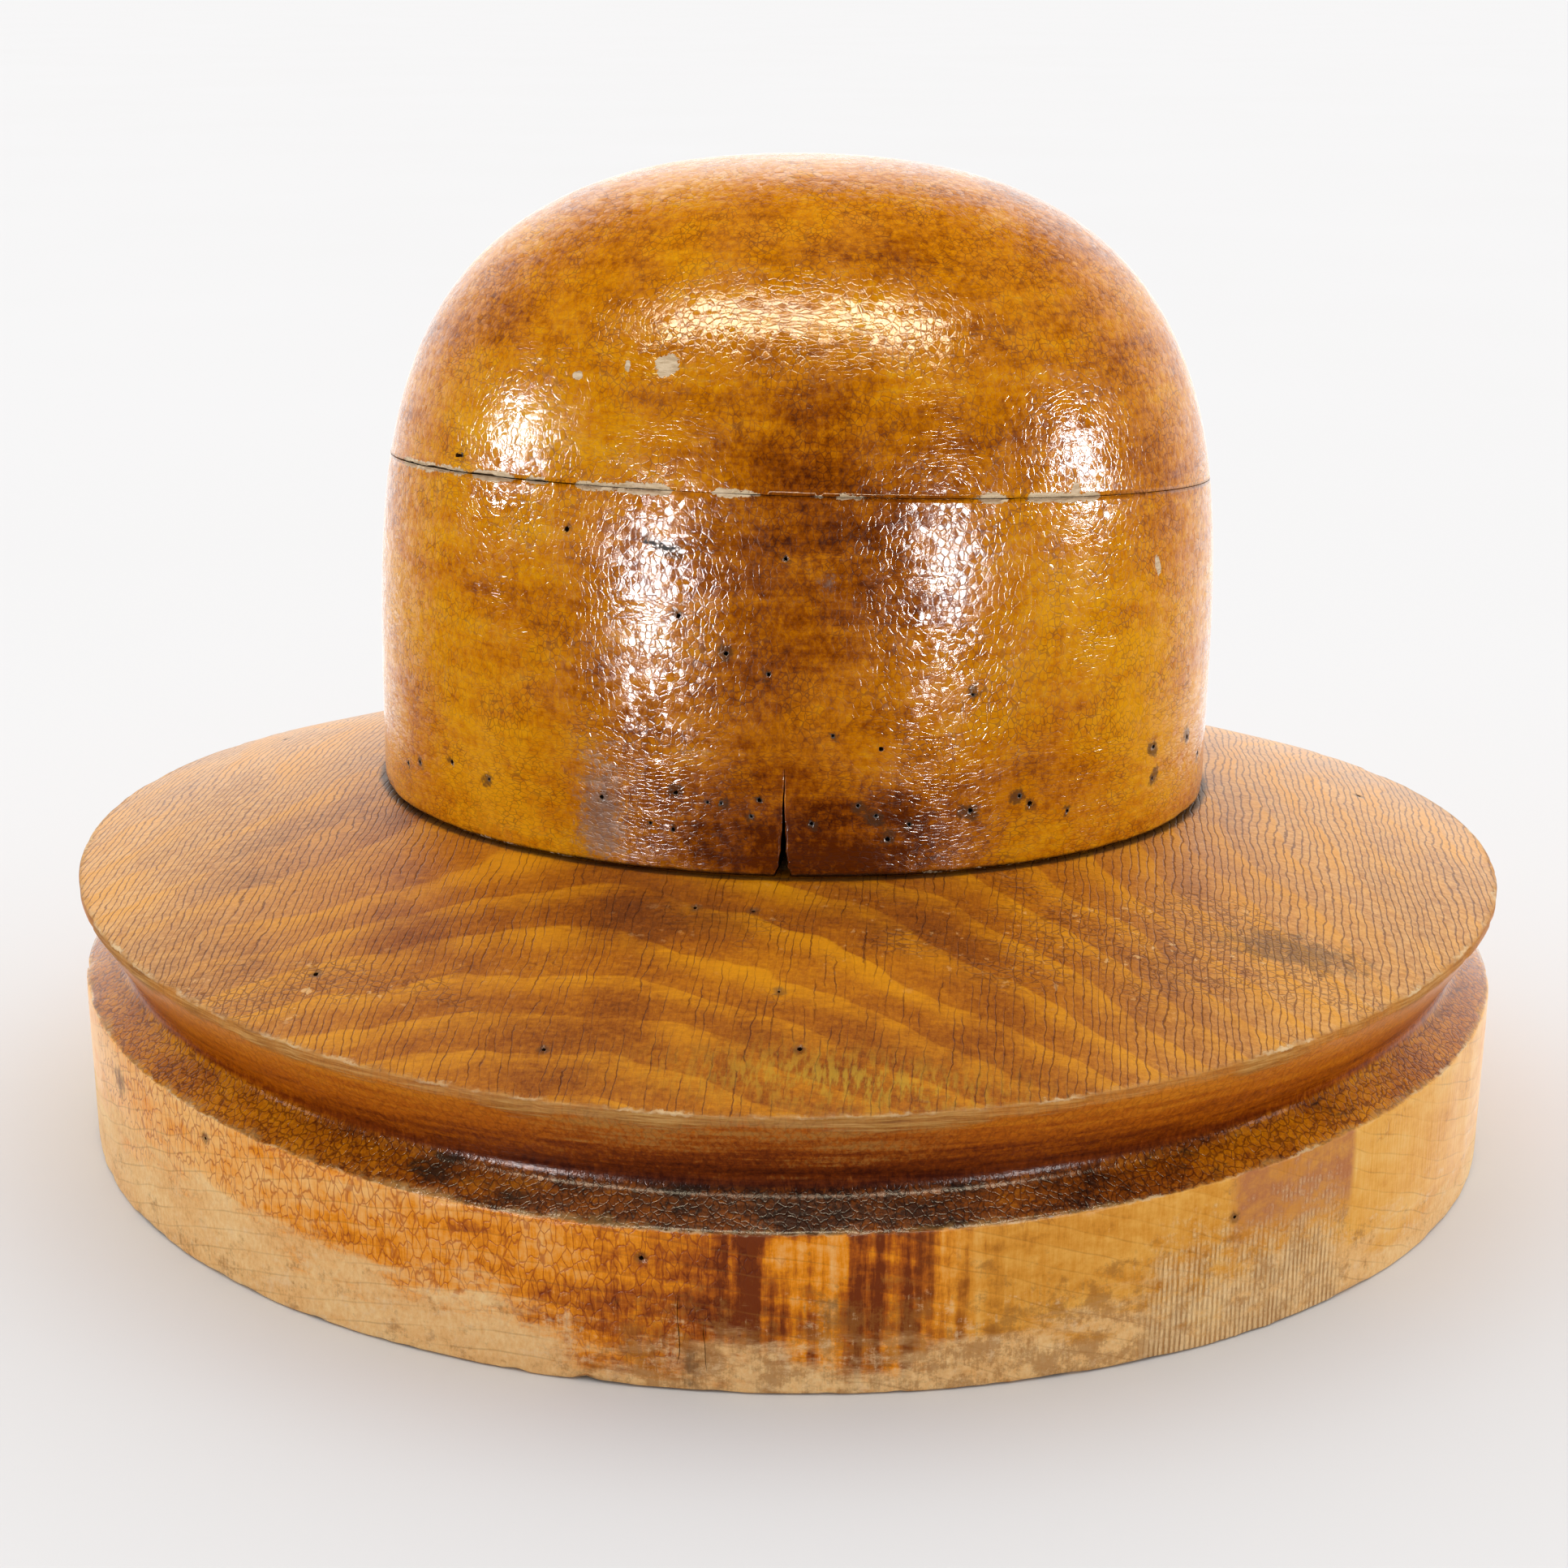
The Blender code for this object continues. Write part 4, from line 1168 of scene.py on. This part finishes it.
def dowelWood():
    # straight-grained dowel with dark flecks and a satin gloss that follows the grain
    finish = Finish("dowel_wood")
    grain = finish.noise((0.5, 0.5, 18.0), 4.0, 0.6)
    flecks = finish.between(finish.noise((0.3, 0.3, 3.0), 2.0, shift=(3.0, 0.0, 0.0)), 0.58, 0.70)
    colour = finish.ramp(grain, dowelLook["stops"])
    colour = finish.blend(flecks * 0.5, colour, dowelLook["fleck"])
    roughness = finish.between(grain, 0.3, 0.7, 0.42, 0.58)
    return finish.dress(Base_Color=colour, Roughness=roughness, Normal=finish.relief(grain * 0.08), IOR=1.25)


# Build the pieces

sawnWood, shadedGrimyWood = bareWood(), darkWood()
crownFinish, brimFinish = crownShellac(), brimShellac()
print("finishes made")

# Soft spots on the crown, each an amount, a middle and a reach along x, y and z
crownSpots = {
    "stain": [
        (1.15, (-31.5, -75.0, 94.0), (6.5, 20.0, 15.0)),
        (0.9, (18.1, -77.7, 146.1), (2.2, 20.0, 2.0)),
    ],
    "shadow": [     # painted shade in the middle of the front and painted light at the sides, and darker round the check and on the dome
        (0.26, (13.0, -79.0, 88.0), (32.0, 30.0, 15.0)),
        (0.15, (16.0, -79.0, 140.0), (28.0, 40.0, 34.0)),
        (0.07, (30.0, -66.0, 174.0), (30.0, 40.0, 14.0)),
        (-0.06, (-50.0, -55.0, 185.0), (34.0, 40.0, 22.0)),
        (-0.08, (-75.0, -50.0, 100.0), (45.0, 60.0, 26.0)),
        (-0.09, (76.0, -52.0, 104.0), (34.0, 50.0, 30.0)),
    ],
}


def crownPits(places, seed):
    # pin holes at bearings in degrees and heights over the foot, square to the crown's surface
    bearings, heights = np.array(places).T
    bearings = np.radians(bearings)
    return pitCutter(crownPoint(bearings, heights), crownNormal(bearings, heights), seed)


def paintCrown(piece, holes):
    # the numbers at each vertex that the crown's finish reads by name
    points = meshPoints(piece)
    along = np.linspace(*np.array(scratch), 10)
    marks = [crownPoint(math.radians(bearing), height) for bearing, height in [*holes, *along]]
    # flakes: the chips, the worn edge of the foot and pale lips along the seam
    level = points[:, 2] - crownFoot
    seam = np.abs(level - seamPlane(points))
    lips = 1.20 * seamFlakes(points) * np.exp(-(seam / 1.3) ** 2)
    footWear = 0.32 + 0.42 * softNoise(points, 22.0, 93) + 0.35 * softNoise(points, 4.0, 94)
    footWear = footWear * np.exp(-(level / 1.5) ** 2)
    values = {name: spots(points, places) for name, places in crownSpots.items()}
    storeValues(piece, {
        **values,
        "holeGap": nearest(points, marks),
        "flake": np.maximum(np.maximum(flakeDepth(points), lips), footWear),
    })


def makeCrownUpper():
    rings, faceCount = crownUpperRings()
    mesh, faceRows = skinGrid("crown_upper", rings, False)
    mesh.polygons.foreach_set("material_index", (faceRows < faceCount - 1).astype(np.int32))
    piece = addPiece("crown_upper_board", mesh, [crownFinish, sawnWood])
    cutAway(piece, [crownPits(upperPinHoles, 3)])
    paintCrown(piece, upperPinHoles)
    return piece


def checkSurface(rise, side):
    # a place on the crown's side at a height, moved sideways by so many millimetres, and its normal
    bearing = math.radians(check["bearing"]) + side / crown["halfLength"]
    height = np.clip(rise, 0.0, None)
    points = crownPoint(bearing, height)
    points[:, 2] = crownFoot + rise
    return points, crownNormal(np.full_like(rise, math.radians(check["bearing"])), height + 0.1)


def checkCutter():
    # its mouth narrows with the cube of the height that is left, and its slit with the square root
    rise = np.linspace(-2.0, check["height"], check["rows"])
    share = np.maximum(1 - np.clip(rise, 0, None) / check["height"], 0.02)
    width = check["width"] * share ** 3 + check["slit"] * share ** 0.5
    depth = check["depth"] * share + 0.4
    return splitCutter("drying_check", checkSurface, rise, width, depth, check["wander"], 21)


def socketCutters(low, high, radius):
    # upright cylinders where the two locating pins stand: rings of 48 points at the two heights
    bearing = np.linspace(-math.pi, math.pi, 48, endpoint=False)[None, :]
    radii = np.array([0.02, radius, radius, 0.02])
    levels = np.array([low, low, high, high])
    cutters = []
    for side in (-1, 1):
        middle = crown["offset"] + side * brim["pinSpacing"] / 2
        mesh, _ = skinGrid("socket", ovalRings(bearing, radii, radii, middle, levels), False)
        cutters.append(addCutter("socket", mesh, sawnWood))
    return cutters


def makeCrownLower():
    rings, hidden, last = crownLowerRings()
    mesh, faceRows = skinGrid("crown_lower", rings, False)
    bare = (faceRows < hidden - 1) | (faceRows >= last)
    mesh.polygons.foreach_set("material_index", bare.astype(np.int32))
    piece = addPiece("crown_lower_board", mesh, [crownFinish, sawnWood])
    pits, split = crownPits(pinHoles, 2), checkCutter()
    socketTop = brim["seatHeight"] + crown["socketDepth"]
    cutAway(piece, [pits, split, *socketCutters(crownFoot - 2, socketTop, crown["socketRadius"])])
    paintCrown(piece, pinHoles)
    return piece


# Hairline splits in the wall: middle, length and width
wallCracks = [
    ((-2.4, -154.9, 13.4), 16.0, 0.20),
    ((2.9, -154.9, 10.0), 11.0, 0.16),
    ((-60.0, 144.0, 14.0), 9.0, 0.40),
]


def wallSurface(middle):
    # the wall round a place on it, by millimetres up from there and along the oval, and its normal
    def surface(rise, side):
        bearing = math.atan2(middle[1] / brim["halfWidth"], middle[0] / brim["halfLength"])
        bearing = bearing + side / brim["halfLength"]
        x, y = np.cos(bearing), np.sin(bearing)
        points = np.stack([brim["halfLength"] * x, brim["halfWidth"] * y, middle[2] + rise], axis=1)
        outward = np.stack([x / brim["halfLength"], y / brim["halfWidth"], 0 * rise], axis=1)
        # the split's mouth stands about 0.002 mm inside the wall
        return points - 0.3 * outward, outward / np.linalg.norm(outward, axis=1, keepdims=True)
    return surface


def wallSplits():
    # each is widest and deepest in its middle and narrows towards both ends like an ellipse
    splits = []
    for step, (middle, length, width) in enumerate(wallCracks):
        rise = np.linspace(-length / 2, length / 2, 14)
        taper = np.sqrt(np.clip(1 - (2 * rise / length) ** 2, 0.01, 1))
        depth = brim["crackDepth"] * taper
        surface = wallSurface(middle)
        wander = brim["crackWander"]
        splits.append(splitCutter("wall_crack", surface, rise, width * taper, depth, wander, 80 + step))
    return splits


def brimHoles():
    # places of the pin holes in the slope and the wall, and the normal at each
    places = [slopePoint(x, y) for x, y in brimPinHoles]
    normals = [slopeNormal(x, y) for x, y in brimPinHoles]
    for place in wallPinHoles:
        out = np.array([place[0] / brim["halfLength"] ** 2, place[1] / brim["halfWidth"] ** 2, 0.0])
        places.append(np.array(place))
        normals.append(out / np.linalg.norm(out))
    return np.array(places), np.array(normals)


# Soft spots on the brim block, each an amount, a middle and a reach along x, y and z
brimSpots = {
    "crazed": [
        (1.0, (-100.0, -118.0, 63.0), (44.0, 11.0, 30.0)),
        (1.0, (96.0, -84.0, 68.0), (44.0, 22.0, 30.0)),
        (0.4, (30.0, -100.0, 75.0), (60.0, 15.0, 30.0)),
    ],
    "stain": [(1.2, (117.0, -80.0, 70.0), (22.0, 9.0, 30.0))],
    "green": [(1.0, (30.0, -143.0, 62.0), (32.0, 7.0, 30.0))],
    "smudge": [
        (1.0, (-139.0, -89.0, 30.0), (4.0, 5.0, 5.0)),
        (1.0, (0.0, -155.0, 5.0), (2.2, 5.0, 6.0)),
        (0.8, (27.0, -152.5, 19.0), (5.0, 5.0, 5.0)),
    ],
    # painted shade on the front of the slope
    "shadow": [(0.11, (0.0, -97.0, 78.0), (60.0, 12.0, 20.0))],
}

# Black patches low in the rope groove, as x and y
soiledPlaces = [
    (-53.0, -144.0), (-39.0, -148.0), (11.0, -146.0), (-3.0, -145.0), (88.0, -121.0), (95.0, -115.0),
    (107.0, -107.0), (121.0, -93.0),
]
brimSpots["soiled"] = [(1.0, (*place, 40.0), (7.0, 7.0, 5.0)) for place in soiledPlaces]

# Stretches round the wall and the groove: from and to in degrees, and how many more each end fades over
brimStretches = {
    "ridged": (-57.0, -41.5, 2.5),
    "golden": (-69.0, -15.0, 7.0),
    "banded": (-86.0, -72.0, 4.0),
    "wallCracked": (-145.0, -95.0, 12.0),
    "blotched": (-92.0, -44.0, 8.0),
    "drips": (-96.0, -78.0, 8.0),
    "purple": (-51.2, -39.4, 0.5),
}

# Round the wall, by bearing in degrees: painted light and shade, how much lighter the wall is drawn (darker
# in the middle of the front, lighter at the sides), and how high the bare wood reaches
wallShade = [(-180, 0.19), (-140, 0.19), (-118, 0.10), (-102, 0.00), (-90, -0.13), (-76, -0.22), (-69, 0.00),
             (-55, 0.03), (-42, 0.11), (0, 0.12), (90, 0.04), (180, 0.19)]
wornLevel = [(-180, 6), (-135, 8), (-108, 4), (-97, -3), (-88, -3), (-78, -5), (-70, 0), (-45, 3), (-30, -4),
             (60, 0), (120, -4), (180, 6)]


def paintBrim(piece, holes):
    # the numbers at each vertex that the brim block's finish reads by name
    points = meshPoints(piece)
    x, y, z = points.T
    aside = np.abs(x)
    degrees = np.degrees(np.arctan2(y / brim["halfWidth"], x / brim["halfLength"]))
    overFlange = z - flangeTop(points)
    outside = np.hypot((x - crown["offset"]) / crown["halfLength"], y / crown["halfWidth"]) - 1
    values = {name: spots(points, places) for name, places in brimSpots.items()}
    for name, (start, end, fade) in brimStretches.items():
        values[name] = band(degrees, start - fade, start, end, end + fade)
    values["purple"] = values["purple"] * easeBetween(z, 15.0, 27.0)
    # painted light: the slope is drawn lighter towards its two ends
    values["shadow"] = values["shadow"] - 0.08 * easeBetween(aside, 75, 140)
    storeValues(piece, {
        **values,
        "holeGap": nearest(points, holes),
        "overFlange": overFlange,
        "overWall": overFlange + brim["flangeHeight"] - brim["wallHeight"],
        "wallLight": np.interp(degrees, *zip(*wallShade)),
        "wornLift": np.interp(degrees, *zip(*wornLevel)),
        # painted shade: strongest in the middle of the front, fading towards the sides
        "dusk": np.exp(-((degrees + 84) / 34) ** 2),
        # painted sheen: haze grows towards the ends and the back of the slope
        "haze": np.clip(easeBetween(aside, 62, 150) + 0.7 * easeBetween(y, -75, 40), 0, 1),
        "cracked": easeBetween(aside, 40, 105) + easeBetween(y, -70, -20),
        "crownGap": outside * (crown["halfLength"] + crown["halfWidth"]) / 2,
    })


def makeBrim():
    piece = addPiece("brim_block_plank", makeBrimShape(), [brimFinish, sawnWood])
    holes, normals = brimHoles()
    pits = pitCutter(holes, normals, 4)
    seat = brim["seatHeight"]
    splits = wallSplits()
    sockets = socketCutters(seat - brim["pinDepth"], seat + 2, brim["pinRadius"])
    cutAway(piece, [pits, *splits, *sockets])
    paintBrim(piece, holes)
    return piece


brimPlank = makeBrim()
print("brim block", len(brimPlank.data.polygons))
lowerBoard = makeCrownLower()
print("lower board", len(lowerBoard.data.polygons))
upperBoard = makeCrownUpper()
print("upper board", len(upperBoard.data.polygons))

dowel = dowelWood()
for name in ("locating_pin_left", "locating_pin_right"):
    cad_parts[name].material_slots[0].material = dowel

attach(brimPlank, "brim")
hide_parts("brim_block")
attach(lowerBoard, "crown")
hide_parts("crown_lower")
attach(upperBoard, "crown")
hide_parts("crown_upper")


# Studio

studio = {
    "target": (0.0, -70.0, 140.0),
    # for each lamp, its bearing from the front towards +X and its height in degrees, its distance from the
    # target, width, height and radiance
    "lamps": {
        "left_strip": (-31.0, -3.0, 520.0, 66.0, 170.0, 94.0),
        "right_strip": (40.0, -1.0, 560.0, 62.0, 150.0, 106.0),
        "overhead": (2.0, 62.0, 1100.0, 1300.0, 190.0, 42.0),
        "left_side": (-74.0, 12.0, 1300.0, 200.0, 240.0, 100.0),
        "right_side": (80.0, 10.0, 1300.0, 180.0, 280.0, 120.0),
    },
    "warmLamps": {"overhead": (1.0, 0.90, 0.66)},
    # share of each lamp that the gloss of the brim block shows; the crown's shows all of it
    "brimShares": {
        "left_strip": 0.60,
        "right_strip": 0.40,
        "overhead": 1.0,
        "left_side": 0.06,
        "right_side": 0.06,
    },
    "softLight": (0.62, 1.75),   # light of the room from the camera's side and from behind the block
    "mirrored": (0.01, 1.60),    # the same, as the gloss shows it
    "mirroredTop": 0.03,         # share of it left high over the block
    "backdrop": 0.92,
    "floorReach": 30000.0,
    "floorTones": [(0.700, 0.694, 0.692), (0.714, 0.710, 0.712)],
}


def makeFloor():
    # a pale level sheet: x and y run over a wide square, z is 0
    reach = np.linspace(-studio["floorReach"], studio["floorReach"], 31)
    grid = np.stack(np.broadcast_arrays(reach[None, :], reach[:, None], 0.0), axis=-1)
    index = np.arange(reach.size ** 2).reshape(reach.size, reach.size)
    quads = np.stack([index[:-1, :-1], index[:-1, 1:], index[1:, 1:], index[1:, :-1]], axis=-1).reshape(-1, 4)
    mesh = bpy.data.meshes.new("floor")
    mesh.from_pydata((grid.reshape(-1, 3) / 1000).tolist(), [], quads.tolist())
    finish = Finish("pale_floor")
    haze = finish.noise((400.0, 400.0, 400.0), 2.0)
    colour = finish.blend(haze, *studio["floorTones"])
    floor = addPiece("floor", mesh, [finish.dress(Base_Color=colour, Roughness=0.9, Specular_IOR_Level=0.0)])
    floor.visible_glossy = False     # gloss shows the room instead


def lampGroup(name, pieces, state):
    # a collection that a lamp lights alone, state INCLUDE, or leaves out, state EXCLUDE
    group = bpy.data.collections.new(name)
    for piece in pieces:
        group.objects.link(piece)
    for member in group.collection_objects:
        member.light_linking.link_state = state
    return group


def makeLamp(name, bearing, rise, distance, width, height, radiance, lit):
    # a lamp that shows in the gloss alone, of the pieces that it lights
    turn, up = math.radians(bearing), math.radians(rise)
    away = Vector((math.sin(turn) * math.cos(up), -math.cos(turn) * math.cos(up), math.sin(up)))
    lamp = bpy.data.lights.new(name, "AREA")
    lamp.shape = "RECTANGLE"
    lamp.size = width / 1000
    lamp.size_y = height / 1000
    lamp.energy = radiance * math.pi * lamp.size * lamp.size_y    # watts for this radiance
    lamp.color = studio["warmLamps"].get(name, (1.0, 1.0, 1.0))
    light = bpy.data.objects.new(name, lamp)
    light.location = Vector(studio["target"]) / 1000 + away * distance / 1000
    light.rotation_euler = away.to_track_quat("Z", "Y").to_euler()
    light.visible_camera = False
    light.visible_diffuse = False
    light.light_linking.receiver_collection = lit
    bpy.context.scene.collection.objects.link(light)


def makeLamps():
    # each lamp is made twice: once for the crown, and a weaker one for all the rest
    crownLit = lampGroup("crown_lamps", [lowerBoard, upperBoard], "INCLUDE")
    brimLit = lampGroup("brim_lamps", [lowerBoard, upperBoard], "EXCLUDE")
    for name, (*place, radiance) in studio["lamps"].items():
        makeLamp(name, *place, radiance, crownLit)
        makeLamp(name, *place, radiance * studio["brimShares"][name], brimLit)


def makeSurroundings():
    # a pale room, darker at the camera's side; in the gloss it is darker there still, and overhead
    world = bpy.data.worlds.new("studio")
    world.use_nodes = True
    nodes = Nodes(world.node_tree)
    away = nodes.node("ShaderNodeTexCoord", {}, {}, "Generated")
    back, up = nodes.axis(away, "Y"), nodes.axis(away, "Z")
    soft = nodes.between(back, -0.80, 0.40, *studio["softLight"])
    mirrored = nodes.between(back, 0.05, 0.85, *studio["mirrored"])
    mirrored = mirrored * nodes.between(up, 0.45, 0.78, 1.0, studio["mirroredTop"])
    gloss = nodes.node("ShaderNodeLightPath", {}, {}, "Is Glossy Ray")
    seen = nodes.node("ShaderNodeLightPath", {}, {}, "Is Camera Ray")
    level = soft * (1 - gloss) + mirrored * gloss
    level = level * (1 - seen) + seen * studio["backdrop"]
    sky = world.node_tree.nodes["Background"]
    nodes.feed(sky.inputs["Color"], (1.0, 1.0, 1.0))
    nodes.feed(sky.inputs["Strength"], level)
    bpy.context.scene.world = world


view = {
    "lens": 60.8,
    "distance": 617.0,
    "height": 271.0,
    "sideways": -0.146,
    "pitch": 0.3035,         # radians down from level
    "swing": 0.118,          # round the block from the front towards +X
    "roll": 0.0035,
}


def makeCamera():
    lens = bpy.data.cameras.new("camera")
    lens.lens = view["lens"]
    lens.sensor_width = 36.0
    lens.clip_start = 0.01
    camera = bpy.data.objects.new("camera", lens)
    swing = Matrix.Rotation(view["swing"], 4, "Z")
    place = Matrix.Translation(Vector((view["sideways"], -view["distance"], view["height"])) / 1000)
    tilt = Matrix.Rotation(math.pi / 2 - view["pitch"], 4, "X")
    camera.matrix_world = swing @ place @ tilt @ Matrix.Rotation(view["roll"], 4, "Z")
    bpy.context.scene.collection.objects.link(camera)
    bpy.context.scene.camera = camera


makeFloor()
makeLamps()
makeSurroundings()
makeCamera()
bpy.context.scene.view_settings.view_transform = "Standard"
print("studio ready")
